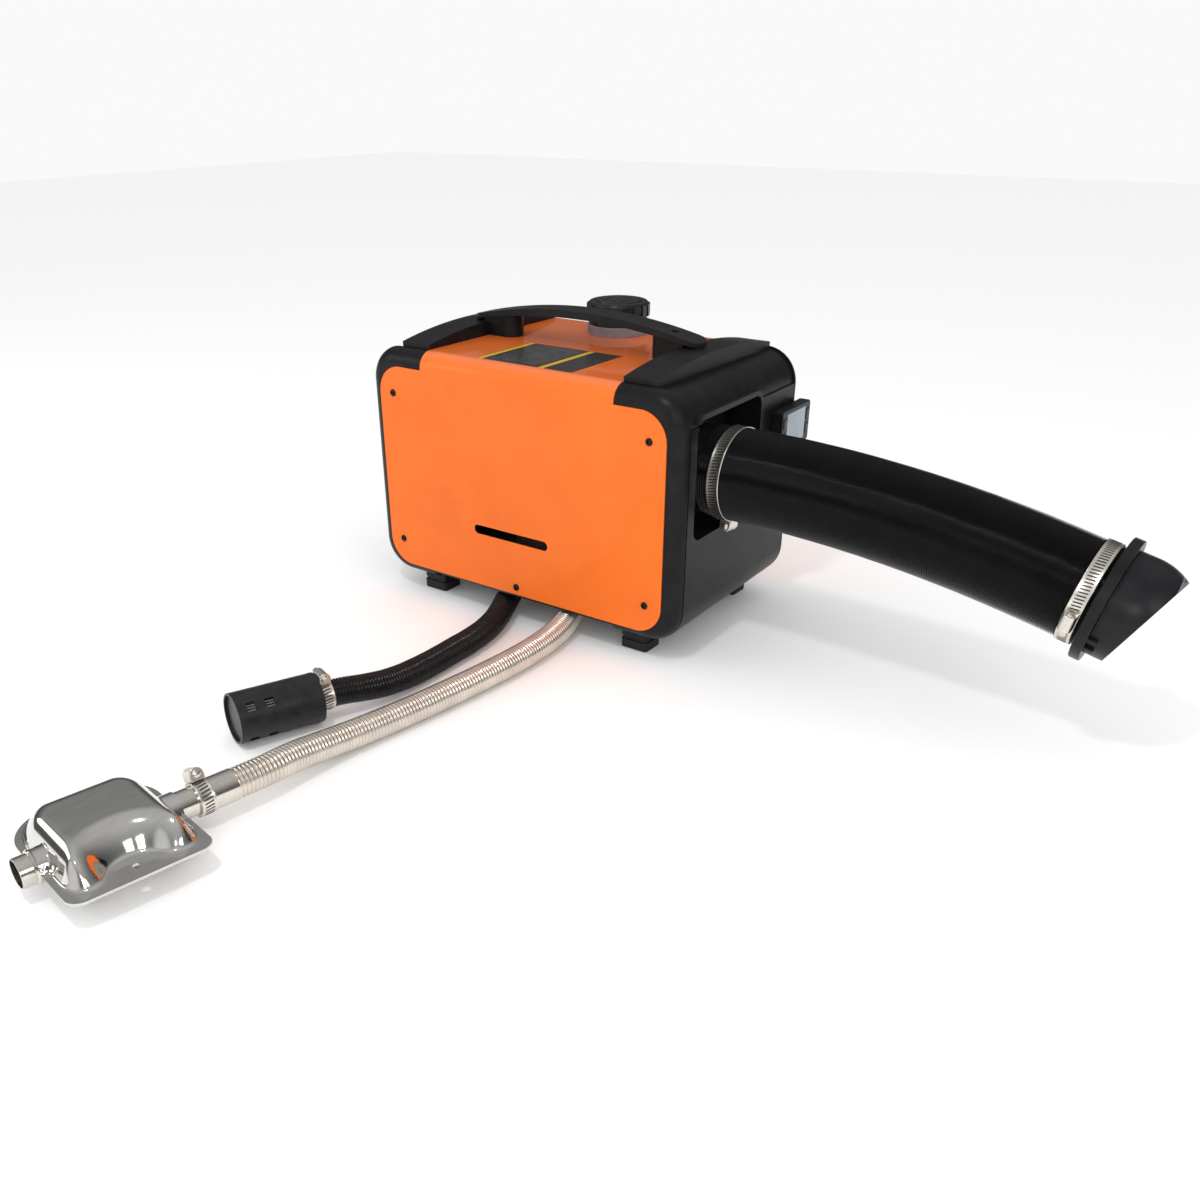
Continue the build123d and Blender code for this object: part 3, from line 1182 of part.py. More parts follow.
for key_number, key_place in enumerate(key_places(), start=1):
    with BuildPart() as control_key:
        with BuildSketch(CONTROL_PLANE.offset(CONTROL_INSIDE - SEAT_GAP)):
            with Locations(key_place):
                Rectangle(KEY_WIDTH + 2 * KEY_FLANGE, KEY_HEIGHT + 2 * KEY_FLANGE)
        extrude(amount=-KEY_FLANGE)
        with BuildSketch(CONTROL_PLANE.offset(CONTROL_INSIDE - SEAT_GAP)):
            with Locations(key_place):
                Rectangle(KEY_WIDTH, KEY_HEIGHT)
        extrude(amount=CONTROL_WALL + SEAT_GAP + KEY_PROUD)
    control_key.part.label = f"control_key_{key_number}"
    export_step(control_key.part, f"parts/control_key_{key_number}.step")

# ---------------------------------------------------------------- hot-air duct

DUCT_START = (DUCT_START_X, CORE_Z)
BEND = math.radians(DUCT_BEND_ANGLE)
DUCT_END_X = SPIGOT_END_X + DUCT_BEND_RADIUS * math.sin(BEND) + RING_INSERT * math.cos(BEND)
DUCT_END_Z = CORE_Z - DUCT_BEND_RADIUS * (1 - math.cos(BEND)) - RING_INSERT * math.sin(BEND)
END_PLANE = Plane(
    origin=(DUCT_END_X, CORE_Y, DUCT_END_Z), x_dir=(0, 1, 0), z_dir=(math.cos(BEND), 0, -math.sin(BEND))
)

with BuildPart() as outlet_spigot:
    with BuildSketch(crosswise(CORE_RIGHT - CORE_WALL)):
        with Locations((CORE_Y, CORE_Z)):
            Circle(SPIGOT_RADIUS)
            Circle(SPIGOT_RADIUS - SPIGOT_WALL, mode=Mode.SUBTRACT)
    extrude(amount=SPIGOT_END_X - CORE_RIGHT + CORE_WALL)
    with BuildSketch(crosswise(CORE_RIGHT)):
        with Locations((CORE_Y, CORE_Z)):
            Circle(SPIGOT_RADIUS + 2 * SPIGOT_WALL)
            Circle(SPIGOT_RADIUS - SPIGOT_WALL, mode=Mode.SUBTRACT)
    extrude(amount=SPIGOT_WALL)
outlet_spigot.part.label = "outlet_spigot"
export_step(outlet_spigot.part, "parts/outlet_spigot.step")

with BuildPart() as hot_air_duct:
    with BuildLine(Plane.XZ.offset(-CORE_Y)) as duct_line:
        lead = Line(DUCT_START, (SPIGOT_END_X, CORE_Z))
        bow = JernArc(start=lead @ 1, tangent=lead % 1, radius=DUCT_BEND_RADIUS, arc_size=-DUCT_BEND_ANGLE)
        Line(bow @ 1, (DUCT_END_X, DUCT_END_Z))
    with BuildSketch(crosswise(DUCT_START_X)):
        with Locations((CORE_Y, CORE_Z)):
            Circle(DUCT_OUTER_RADIUS)
            Circle(DUCT_INNER_RADIUS, mode=Mode.SUBTRACT)
    sweep()
hot_air_duct.part.label = "hot_air_duct"
export_step(hot_air_duct.part, "parts/hot_air_duct.step")


def clamp_band(plane, radius, turn):
    """A worm-drive band round a tube of that radius, in the plane's middle, with its housing turned by turn."""
    inner = radius + CLAMP_GAP
    outer = inner + BAND_THICKNESS
    with BuildPart() as band:
        with BuildSketch(plane):
            Circle(outer)
            Circle(inner, mode=Mode.SUBTRACT)
        extrude(amount=BAND_WIDTH / 2, both=True)
        with BuildSketch(plane):
            with PolarLocations(outer + WORM_RADIUS, 1, start_angle=turn):
                Rectangle(2 * WORM_RADIUS + BAND_THICKNESS, WORM_LENGTH)
        extrude(amount=WORM_RADIUS + BAND_THICKNESS, both=True)
        with BuildSketch(plane):
            Circle(inner, mode=Mode.ADD)
        extrude(amount=BAND_WIDTH, both=True, mode=Mode.SUBTRACT)
        with BuildSketch(worm_plane(plane, outer, turn)):
            Circle(WORM_RADIUS - BAND_THICKNESS)
        extrude(amount=WORM_LENGTH, both=True, mode=Mode.SUBTRACT)
    return band


def worm_plane(plane, outer, turn):
    """Plane through the middle of a clamp's worm, square to the worm."""
    angle = math.radians(turn)
    reach = outer + WORM_RADIUS
    middle = plane.from_local_coords((reach * math.cos(angle), reach * math.sin(angle), 0))
    along = plane.from_local_coords((-math.sin(angle), math.cos(angle), 0)) - plane.origin
    return Plane(origin=middle, x_dir=plane.z_dir, z_dir=along)


def clamp_worm(plane, radius, turn):
    """The worm screw of a band: a plain shank the size of its thread, and a hexagon head."""
    middle = worm_plane(plane, radius + CLAMP_GAP + BAND_THICKNESS, turn)
    with BuildPart() as worm:
        with BuildSketch(middle.offset(-WORM_LENGTH / 2)):
            Circle(WORM_RADIUS - BAND_THICKNESS - SEAT_GAP)
        extrude(amount=WORM_LENGTH)
        with BuildSketch(middle.offset(WORM_LENGTH / 2)):
            RegularPolygon(WORM_HEAD_RADIUS, 6)
        extrude(amount=WORM_HEAD_LENGTH)
    return worm


NEAR_CLAMP_PLANE = Plane(
    origin=(SPIGOT_END_X - DUCT_CLAMP_INSET, CORE_Y, CORE_Z), x_dir=(0, 1, 0), z_dir=(1, 0, 0)
)
FAR_CLAMP_PLANE = END_PLANE.offset(-DUCT_CLAMP_INSET)
NEAR_CLAMP_TURN = 262.0
FAR_CLAMP_TURN = 191.0

near_clamp_band = clamp_band(NEAR_CLAMP_PLANE, DUCT_OUTER_RADIUS, NEAR_CLAMP_TURN)
near_clamp_band.part.label = "near_clamp_band"
export_step(near_clamp_band.part, "parts/near_clamp_band.step")

near_clamp_worm = clamp_worm(NEAR_CLAMP_PLANE, DUCT_OUTER_RADIUS, NEAR_CLAMP_TURN)
near_clamp_worm.part.label = "near_clamp_worm"
export_step(near_clamp_worm.part, "parts/near_clamp_worm.step")

far_clamp_band = clamp_band(FAR_CLAMP_PLANE, DUCT_OUTER_RADIUS, FAR_CLAMP_TURN)
far_clamp_band.part.label = "far_clamp_band"
export_step(far_clamp_band.part, "parts/far_clamp_band.step")

far_clamp_worm = clamp_worm(FAR_CLAMP_PLANE, DUCT_OUTER_RADIUS, FAR_CLAMP_TURN)
far_clamp_worm.part.label = "far_clamp_worm"
export_step(far_clamp_worm.part, "parts/far_clamp_worm.step")

# Outlet ring: a flange at the duct's end with a spigot that goes into the duct
RING_BORE = SPIGOT_RADIUS - SPIGOT_WALL
RING_FACE = RING_GAP + RING_WIDTH

with BuildPart() as outlet_ring:
    with BuildSketch(END_PLANE.offset(-RING_INSERT)):
        Circle(SPIGOT_RADIUS)
        Circle(RING_BORE, mode=Mode.SUBTRACT)
    extrude(amount=RING_INSERT + RING_FACE)
    with BuildSketch(END_PLANE.offset(RING_GAP)):
        Circle(RING_RADIUS)
        Circle(RING_BORE, mode=Mode.SUBTRACT)
    extrude(amount=RING_WIDTH)
outlet_ring.part.label = "outlet_ring"
export_step(outlet_ring.part, "parts/outlet_ring.step")

# Outlet hood: a domed tube cut off by a slanting plane, turning in the ring on a short neck
HOOD_START = RING_FACE + RING_GAP
HOOD_NECK_RADIUS = RING_BORE - SWIVEL_GAP
HOOD_BEND = ((HOOD_LENGTH - HOOD_STRAIGHT) ** 2 + HOOD_RADIUS**2) / (2 * HOOD_RADIUS)


def hood_cut(normal, reach):
    """What lies beyond a plane square to normal, at that distance along it from the ring's middle."""
    with BuildPart() as beyond:
        with BuildSketch(Plane(origin=END_PLANE.origin + Vector(*normal).normalized() * reach, z_dir=normal)):
            Rectangle(4 * HOOD_RADIUS, 4 * HOOD_RADIUS)
        extrude(amount=4 * HOOD_RADIUS)
    return beyond.part


def hood_form(outer, start):
    """The hood's outer or inner form, turned about the duct's end axis."""
    shoulder = HOOD_START + HOOD_STRAIGHT
    bend = HOOD_BEND - (HOOD_RADIUS - outer)
    tip = shoulder + math.sqrt(bend**2 - (HOOD_BEND - HOOD_RADIUS) ** 2)
    with BuildPart() as form:
        with BuildSketch(Plane(origin=END_PLANE.origin, x_dir=END_PLANE.x_dir, z_dir=-END_PLANE.y_dir)):
            with BuildLine():
                dome = TangentArc((outer, shoulder), (0, tip), tangent=(0, 1))
                Polyline(dome @ 1, (0, start), (outer, start), dome @ 0)
            make_face()
        revolve(axis=Axis(END_PLANE.origin, END_PLANE.z_dir))
    return form.part


with BuildPart() as outlet_hood:
    add(hood_form(HOOD_RADIUS, HOOD_START))
    with BuildSketch(END_PLANE.offset(HOOD_START - RING_GAP - HOOD_NECK_DEPTH)):
        Circle(HOOD_NECK_RADIUS)
    extrude(amount=HOOD_NECK_DEPTH + 2 * RING_GAP)
    add(hood_form(HOOD_RADIUS - HOOD_WALL, HOOD_START + HOOD_WALL), mode=Mode.SUBTRACT)
    with BuildSketch(END_PLANE.offset(HOOD_START - 2 * HOOD_NECK_DEPTH)):
        Circle(HOOD_NECK_RADIUS - HOOD_WALL)
    extrude(amount=HOOD_LENGTH, mode=Mode.SUBTRACT)
    add(hood_cut(HOOD_MOUTH_NORMAL, HOOD_MOUTH_REACH), mode=Mode.SUBTRACT)
outlet_hood.part.label = "outlet_hood"
export_step(outlet_hood.part, "parts/outlet_hood.step")

# ---------------------------------------------------------------- hoses on the floor

HOSE_TOP = CORE_BOTTOM - HOSE_SOCKET


def lowered(share):
    """Height at this share of the drop from the heater's stubs to a hose lying on the floor."""
    return HOSE_RADIUS + share * (HOSE_TOP - HOSE_RADIUS)


EXHAUST_ROUTE = [
    (EXHAUST_STUB_X, STUB_Y, lowered(1)), (EXHAUST_STUB_X, STUB_Y, lowered(0.786)),
    (42.5, -26, lowered(0.5136)), (43.5, -41, lowered(0.285)), (46, -63, lowered(0.115)),
    (51, -89, lowered(0.029)),
    (59, -117, 13.6), (66, -146, 13.2), (70, -180, 13.2), (70, -222, 13.2), (66.5, -268, 13.2),
    (61.5, -315, 13.2), (55, -361, 13.2), (48.5, -404, 14), (44.5, -442, 17.2), (43, -477, 21.8),
    (44.2, -508.4, 24), (39.3, -535, 24),
]
INTAKE_ROUTE = [
    (INTAKE_STUB_X, STUB_Y, lowered(1)), (INTAKE_STUB_X, STUB_Y, lowered(0.786)),
    (-45.8, -26, lowered(0.5136)), (-45, -41, lowered(0.285)), (-42, -62, lowered(0.115)),
    (-35.5, -88, lowered(0.029)),
    (-25, -113, 13.6), (-12, -139, 13.2), (-1, -167, 13.2), (5, -200, 13.2), (6.5, -240, 13.2),
    (8, -284, 13.4), (6.5, -322, 15.5), (0, -352, 19.6), (-8.7, -371, 22.6), (-17, -394, 23.2),
]


def bend_radii(points):
    """Each corner's radius: the shorter run's share, over the tangent of half the turn."""
    corners = [Vector(*p) for p in points]
    radii = []
    for before, corner, after in zip(corners, corners[1:], corners[2:]):
        arriving = corner - before
        leaving = after - corner
        half_turn = math.radians(arriving.get_angle(leaving)) / 2
        radii.append(RUN_SHARE * min(arriving.length, leaving.length) / math.tan(half_turn))
    return radii


def hose(points):
    """A plain hollow tube along straight runs joined by arcs."""
    radii = bend_radii(points)
    start = Plane(origin=points[0], z_dir=Vector(*points[1]) - Vector(*points[0]))
    with BuildPart() as tube:
        with BuildLine():
            run = FilletPolyline(*points, radius=radii)
        with BuildSketch(start):
            Circle(HOSE_RADIUS)
            Circle(HOSE_RADIUS - HOSE_WALL, mode=Mode.SUBTRACT)
        sweep()
    section = math.pi * (HOSE_RADIUS**2 - (HOSE_RADIUS - HOSE_WALL) ** 2)
    length = run.length
    print("radii", [round(radius) for radius in radii])
    print("length", round(length, 1), "volume over section times length", round(tube.part.volume / section / length, 4))
    return tube


exhaust_hose = hose(EXHAUST_ROUTE)
exhaust_hose.part.label = "exhaust_hose"
export_step(exhaust_hose.part, "parts/exhaust_hose.step")

intake_hose = hose(INTAKE_ROUTE)
intake_hose.part.label = "intake_hose"
export_step(intake_hose.part, "parts/intake_hose.step")

# Intake silencer: nipple plate with the hose on it, and a perforated can with a closed end
SILENCER_PLANE = Plane(
    origin=INTAKE_ROUTE[-1], x_dir=(0, 0, 1),
    z_dir=(Vector(*INTAKE_ROUTE[-1]) - Vector(*INTAKE_ROUTE[-2])).normalized(),
)
NIPPLE_RADIUS = HOSE_RADIUS - HOSE_WALL - PIPE_GAP

with BuildPart() as silencer_plate:
    with BuildSketch(SILENCER_PLANE.offset(-SILENCER_NIPPLE / 2)):
        Circle(NIPPLE_RADIUS)
    extrude(amount=SILENCER_NIPPLE / 2 + SILENCER_WALL)
    with BuildSketch(SILENCER_PLANE):
        Circle(SILENCER_RADIUS)
    extrude(amount=SILENCER_WALL)
    with BuildSketch(SILENCER_PLANE.offset(-SILENCER_NIPPLE)):
        Circle(NIPPLE_RADIUS - HOSE_WALL)
    extrude(amount=2 * SILENCER_NIPPLE, mode=Mode.SUBTRACT)
silencer_plate.part.label = "silencer_plate"
export_step(silencer_plate.part, "parts/silencer_plate.step")

with BuildPart() as silencer_can:
    with BuildSketch(SILENCER_PLANE.offset(SILENCER_WALL)):
        Circle(SILENCER_RADIUS)
        Circle(SILENCER_RADIUS - SILENCER_WALL, mode=Mode.SUBTRACT)
    extrude(amount=SILENCER_LENGTH - SILENCER_WALL)
    with BuildSketch(SILENCER_PLANE.offset(SILENCER_LENGTH - SILENCER_RIM - SILENCER_WALL)):
        Circle(SILENCER_RADIUS - SILENCER_WALL / 2)
    extrude(amount=SILENCER_WALL)
    for place in (WINDOW_NEAR, WINDOW_FAR):
        with BuildSketch(SILENCER_PLANE.offset(place)):
            Rectangle(WINDOW, 3 * SILENCER_RADIUS)
            Rectangle(3 * SILENCER_RADIUS, WINDOW)
            Circle(SILENCER_RADIUS - 2 * SILENCER_WALL, mode=Mode.SUBTRACT)
        extrude(amount=WINDOW / 2, both=True, mode=Mode.SUBTRACT)
silencer_can.part.label = "silencer_can"
export_step(silencer_can.part, "parts/silencer_can.step")

INTAKE_CLAMP_PLANE = SILENCER_PLANE.offset(-BAND_WIDTH / 2 - CLAMP_GAP)
intake_clamp = clamp_band(INTAKE_CLAMP_PLANE, HOSE_RADIUS, 0)
intake_clamp.part.label = "intake_clamp"
export_step(intake_clamp.part, "parts/intake_clamp.step")

# Exhaust muffler, in its own frame: X along the flow, Y towards the scalloped side, Z up
HEADING = math.radians(MUFFLER_HEADING)
FLOW = (math.sin(HEADING), math.cos(HEADING), 0)
MUFFLER_PLANE = Plane(origin=(MUFFLER_X, MUFFLER_Y, MUFFLER_AXIS_Z), x_dir=FLOW, z_dir=(0, 0, 1))
FLANGE_START = MUFFLER_SHIFT - MUFFLER_FLANGE_LENGTH / 2
FLANGE_FINISH = MUFFLER_SHIFT + MUFFLER_FLANGE_LENGTH / 2


def along_muffler(distance):
    """Plane square to the muffler's pipes, at that distance along the flow."""
    return Plane(origin=MUFFLER_PLANE.from_local_coords((distance, 0, 0)), x_dir=(0, 0, 1), z_dir=FLOW)


def muffler_bulge(inset):
    """The pillow pressed into each muffler half, set in by inset; it spans both sides of the flange."""
    far = MUFFLER_FLANGE_WIDTH / 2 - MUFFLER_FAR_STRIP - inset
    near = MUFFLER_BULGE_NEAR - inset
    half = MUFFLER_BULGE_LENGTH / 2 - inset
    rise = MUFFLER_BULGE_RISE - inset
    with BuildPart() as pillow:
        with BuildSketch(MUFFLER_PLANE):
            with Locations((MUFFLER_SHIFT, (near - far) / 2)):
                Rectangle(2 * half, near + far)
            fillet(vertices().group_by(Axis.Y)[0], MUFFLER_CORNER_FAR - MUFFLER_FAR_STRIP - inset)
            fillet(vertices().group_by(Axis.Y)[-1], MUFFLER_LOBE_RADIUS - inset)
            with Locations((MUFFLER_HOLE_X, MUFFLER_SCALLOP_Y)):
                Circle(MUFFLER_SCALLOP_RADIUS + inset, mode=Mode.SUBTRACT)
            lobes = vertices().sort_by_distance((MUFFLER_HOLE_X, near))[:2]
            fillet(lobes, MUFFLER_LOBE_RADIUS - inset)
        extrude(amount=rise, both=True)
        fillet(pillow.faces().filter_by(Axis.Z).edges(), MUFFLER_SHOULDER - inset)
    return pillow.part


def muffler_half(side):
    """One pressed half of the muffler, above (1) or below (-1) the joint, with its near strip's hole."""
    with BuildPart() as half:
        with BuildSketch(MUFFLER_PLANE):
            with Locations((MUFFLER_SHIFT, 0)):
                Rectangle(MUFFLER_FLANGE_LENGTH, MUFFLER_FLANGE_WIDTH)
            fillet(vertices().group_by(Axis.Y)[0], MUFFLER_CORNER_FAR)
            fillet(vertices().group_by(Axis.Y)[-1], MUFFLER_CORNER_NEAR)
        extrude(amount=side * MUFFLER_SHEET)
        add(muffler_bulge(0))
        split(bisect_by=MUFFLER_PLANE, keep=Keep.TOP if side > 0 else Keep.BOTTOM)
        add(muffler_bulge(MUFFLER_SHEET), mode=Mode.SUBTRACT)
        with BuildSketch(MUFFLER_PLANE):
            with Locations((MUFFLER_HOLE_X, MUFFLER_HOLE_Y)):
                Circle(MUFFLER_HOLE_RADIUS)
        extrude(amount=2 * MUFFLER_SHEET, both=True, mode=Mode.SUBTRACT)
        with BuildSketch(along_muffler(-MUFFLER_FLANGE_LENGTH)):
            Circle(PIPE_RADIUS + SEAT_GAP)
        extrude(amount=2 * MUFFLER_FLANGE_LENGTH, mode=Mode.SUBTRACT)
    return half.part


with BuildPart() as muffler_lower:
    add(muffler_half(-1))
muffler_lower.part.label = "muffler_lower"
export_step(muffler_lower.part, "parts/muffler_lower.step")

with BuildPart() as muffler_upper:
    add(mirror(muffler_lower.part, about=MUFFLER_PLANE))
muffler_upper.part.label = "muffler_upper"
export_step(muffler_upper.part, "parts/muffler_upper.step")

PIPE_INSIDE = MUFFLER_BULGE_LENGTH / 4

with BuildPart() as muffler_pipes:
    for start, finish in ((-MUFFLER_INLET_REACH, -PIPE_INSIDE), (PIPE_INSIDE, MUFFLER_PIPE_REACH)):
        with BuildSketch(along_muffler(start)):
            Circle(PIPE_RADIUS)
            Circle(PIPE_RADIUS - PIPE_WALL, mode=Mode.SUBTRACT)
        extrude(amount=finish - start)
muffler_pipes.part.label = "muffler_pipes"
export_step(muffler_pipes.part, "parts/muffler_pipes.step")

SLEEVE_START = (Vector(*EXHAUST_ROUTE[-1]) - MUFFLER_PLANE.origin).dot(Vector(*FLOW))

with BuildPart() as exhaust_sleeve:
    with BuildSketch(along_muffler(SLEEVE_START + SEAT_GAP)):
        Circle(SLEEVE_RADIUS)
        Circle(PIPE_RADIUS + PIPE_GAP, mode=Mode.SUBTRACT)
    extrude(amount=SLEEVE_LENGTH)
exhaust_sleeve.part.label = "exhaust_sleeve"
export_step(exhaust_sleeve.part, "parts/exhaust_sleeve.step")

EXHAUST_CLAMP_TURN = 25.0
EXHAUST_CLAMP_PLANE = along_muffler(SLEEVE_START + SLEEVE_LENGTH - BAND_WIDTH / 2)
exhaust_clamp = clamp_band(EXHAUST_CLAMP_PLANE, SLEEVE_RADIUS, EXHAUST_CLAMP_TURN)
exhaust_clamp.part.label = "exhaust_clamp"
export_step(exhaust_clamp.part, "parts/exhaust_clamp.step")
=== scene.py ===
# %% [markdown]
# # A portable diesel air heater, dressed piece by piece
#
# The heater is an orange sheet folded over a case, with a black moulding at each end, a carrying handle, a
# filler cap, a ribbed hot-air duct, an intake hose with its silencer and a steel exhaust hose with its
# muffler. The solids come from the part's own source and stay where they are. This lesson gives them their
# finishes, softens the edges of the outer ones, and replaces those whose fine shape matters: the ribbed
# hoses and duct, the worm clamps, the muffler's shells, the cover's screws and the cap.

# %% Load the part and keep its box
import json
import math

import bmesh
import bpy
from mathutils import Matrix, Vector


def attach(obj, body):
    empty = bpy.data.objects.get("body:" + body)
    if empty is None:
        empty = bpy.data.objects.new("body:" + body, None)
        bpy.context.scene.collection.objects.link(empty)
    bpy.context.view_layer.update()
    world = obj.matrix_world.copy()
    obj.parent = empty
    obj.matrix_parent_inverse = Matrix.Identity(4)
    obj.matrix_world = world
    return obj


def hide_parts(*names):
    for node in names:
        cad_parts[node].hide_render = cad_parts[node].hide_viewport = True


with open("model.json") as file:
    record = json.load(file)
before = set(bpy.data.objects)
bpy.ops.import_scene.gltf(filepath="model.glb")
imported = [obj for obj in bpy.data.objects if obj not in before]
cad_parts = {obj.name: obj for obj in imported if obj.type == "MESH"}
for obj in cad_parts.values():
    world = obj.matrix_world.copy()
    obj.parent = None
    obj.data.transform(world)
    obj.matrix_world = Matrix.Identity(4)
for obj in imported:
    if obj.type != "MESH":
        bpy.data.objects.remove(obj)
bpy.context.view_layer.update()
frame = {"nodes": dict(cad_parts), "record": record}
MM = 0.001

# %% [markdown]
# ## The camera
#
# A photograph is matched before anything is judged against it. The turn, the tilt and the lens come from
# the vanishing points of the case's own edges. The distance comes from parts of a standard size, such as
# clamp bands and exhaust pipes, which give the case its real lengths. The picture seems to be cropped
# off-centre, so a small lens shift puts the view back where it was.

# %% Camera
PIXELS = 1200
FOCAL_PIXELS = 1154.2866
CENTRE_PIXEL = (560.0, 700.0)
TURN, TILT, ROLL = 0.6439, 0.4983, -0.0082
CAMERA_PLACE = (713.2006, -998.7715, 519.6176)
SENSOR_WIDTH = 36.0

ahead = Vector((-math.sin(TURN) * math.cos(TILT), math.cos(TURN) * math.cos(TILT), -math.sin(TILT)))
level = Vector((math.cos(TURN), math.sin(TURN), 0))
above = Vector((-math.sin(TURN) * math.sin(TILT), math.cos(TURN) * math.sin(TILT), math.cos(TILT)))
right = math.cos(ROLL) * level + math.sin(ROLL) * above
up = -math.sin(ROLL) * level + math.cos(ROLL) * above

camera = bpy.data.objects.new("camera", bpy.data.cameras.new("camera"))
bpy.context.scene.collection.objects.link(camera)
camera.data.sensor_width = SENSOR_WIDTH
camera.data.lens = SENSOR_WIDTH * FOCAL_PIXELS / PIXELS
camera.data.shift_x = (PIXELS / 2 - CENTRE_PIXEL[0]) / PIXELS
camera.data.shift_y = (CENTRE_PIXEL[1] - PIXELS / 2) / PIXELS
camera.data.clip_start = 0.02
camera_turn = Matrix((right, up, -ahead)).transposed().to_4x4()
camera.matrix_world = Matrix.Translation(Vector(CAMERA_PLACE) * MM) @ camera_turn
bpy.context.scene.camera = camera
print("lens", round(camera.data.lens, 2))
print("shift", round(camera.data.shift_x, 4), round(camera.data.shift_y, 4))

# %% [markdown]
# ## The two hoses' routes
#
# A hose lies in smooth curves. Its route is drawn as one spline with few control points: out of the
# heater's underside, down to the floor, and along it. A line through many points would copy every small
# error of them and look like bent wire. Everything that follows a hose later reads its points from here.

# %% Routes of the exhaust and intake hoses
EXHAUST_ROUTE = [
    (42, -20, 116), (42, -20, 94), (42.5, -26, 66), (43.5, -41, 42.5), (46, -63, 25), (51, -89, 16.2),
    (59, -117, 13.6), (66, -146, 13.2), (70, -180, 13.2), (70, -222, 13.2), (66.5, -268, 13.2),
    (61.5, -315, 13.2), (55, -361, 13.2), (48.5, -404, 14), (44.5, -442, 17.2), (43, -477, 21.8),
    (44.2, -508.4, 24), (39.3, -535, 24),
]
INTAKE_ROUTE = [
    (-46, -20, 116), (-46, -20, 94), (-45.8, -26, 66), (-45, -41, 42.5), (-42, -62, 25), (-35.5, -88, 16.2),
    (-25, -113, 13.6), (-12, -139, 13.2), (-1, -167, 13.2), (5, -200, 13.2), (6.5, -240, 13.2),
    (8, -284, 13.4), (6.5, -322, 15.5), (0, -352, 19.6), (-8.7, -371, 22.6), (-17, -394, 23.2),
]


def place(piece):
    """Puts a new object into the scene."""
    bpy.context.scene.collection.objects.link(piece)
    return piece


def points_on_route(name, route):
    """The smooth line of a route, as points in metres, read from its spline."""
    curve = bpy.data.curves.new(name, "CURVE")
    curve.dimensions = "3D"
    curve.resolution_u = 16
    spline = curve.splines.new("NURBS")
    spline.points.add(len(route) - 1)
    for control, spot in zip(spline.points, route):
        control.co = (*(Vector(spot) * MM), 1)
    spline.order_u = 3
    spline.use_endpoint_u = True
    line = place(bpy.data.objects.new(name, curve))
    mesh = bpy.data.meshes.new_from_object(line)
    found = [vertex.co.copy() for vertex in mesh.vertices]
    bpy.data.objects.remove(line)
    bpy.data.meshes.remove(mesh)
    return found


exhaust_line = points_on_route("exhaust_route", EXHAUST_ROUTE)
intake_line = points_on_route("intake_route", INTAKE_ROUTE)


def line_length(points):
    """The length of a line of points, in metres."""
    return sum((b - a).length for a, b in zip(points, points[1:]))


print("exhaust", round(line_length(exhaust_line), 4), "m, intake", round(line_length(intake_line), 4), "m")

# %% [markdown]
# ## Tools for node trees
#
# Finishes, the world and Geometry Nodes are all trees of nodes. A node is added and set in one line, and a
# step of arithmetic takes sockets and numbers alike, so that a formula in a tree reads like a formula.

# %% Nodes and arithmetic in any tree
def add_node(tree, kind, **settings):
    """Adds a node to a tree and sets its properties and sockets by name."""
    made = tree.nodes.new(kind)
    for key, value in settings.items():
        if key in made.inputs:
            made.inputs[key].default_value = value
        else:
            setattr(made, key, value)
    return made


def feed(tree, value, socket):
    """Links a socket to another one, or gives it a plain value."""
    if isinstance(value, bpy.types.NodeSocket):
        tree.links.new(value, socket)
    else:
        socket.default_value = value


def arithmetic(tree, operation, a, b=None, vector=False):
    """One arithmetic step in a tree; a and b are sockets or numbers."""
    step = add_node(tree, "ShaderNodeVectorMath" if vector else "ShaderNodeMath", operation=operation)
    for socket, value in zip(step.inputs, (a, b)):
        if value is not None:
            feed(tree, value, socket)
    return step.outputs["Value"] if operation == "DOT_PRODUCT" else step.outputs[0]


def range_map(tree, value, source, target, **settings):
    """Maps a value from one range, a pair, onto another, held at its ends."""
    spread = add_node(tree, "ShaderNodeMapRange", **settings)
    labels = ("Value", "From Min", "From Max", "To Min", "To Max")
    for label, number in zip(labels, (value, *source, *target)):
        feed(tree, number, spread.inputs[label])
    return spread.outputs["Result"]


# %% [markdown]
# ## Tools for finishes
#
# A real surface is never one flat colour. Each finish starts from a plain shader and gets two quiet
# patterns on the piece's own coordinates: one that lets its colour drift, and one that gives it a fine
# relief. Painted picture textures could do the same, but they would need unwrapping, and a pattern made by
# a rule has no seams.

# %% A finish and its two patterns
RAMP_ENDS = (0.32, 0.68)


def shader_of(finish):
    return finish.node_tree.nodes["Principled BSDF"]


def new_finish(name, colour, roughness, metal=0.0, coat=0.0, coat_roughness=0.05, shine=0.5):
    """A finish with a plain shader; returns the material."""
    finish = bpy.data.materials.new(name)
    finish.use_nodes = True
    for label, value in (
        ("Base Color", (*colour, 1)), ("Roughness", roughness), ("Metallic", metal), ("Coat Weight", coat),
        ("Coat Roughness", coat_roughness), ("Specular IOR Level", shine),
    ):
        shader_of(finish).inputs[label].default_value = value
    finish.diffuse_color = (*colour, 1)
    return finish


def piece_place(finish, stretch=(1, 1, 1)):
    """The piece's own coordinates, stretched along its axes."""
    tree = finish.node_tree
    where = add_node(tree, "ShaderNodeTexCoord")
    mapping = add_node(tree, "ShaderNodeMapping", Scale=stretch)
    tree.links.new(where.outputs["Object"], mapping.inputs["Vector"])
    return mapping.outputs["Vector"]


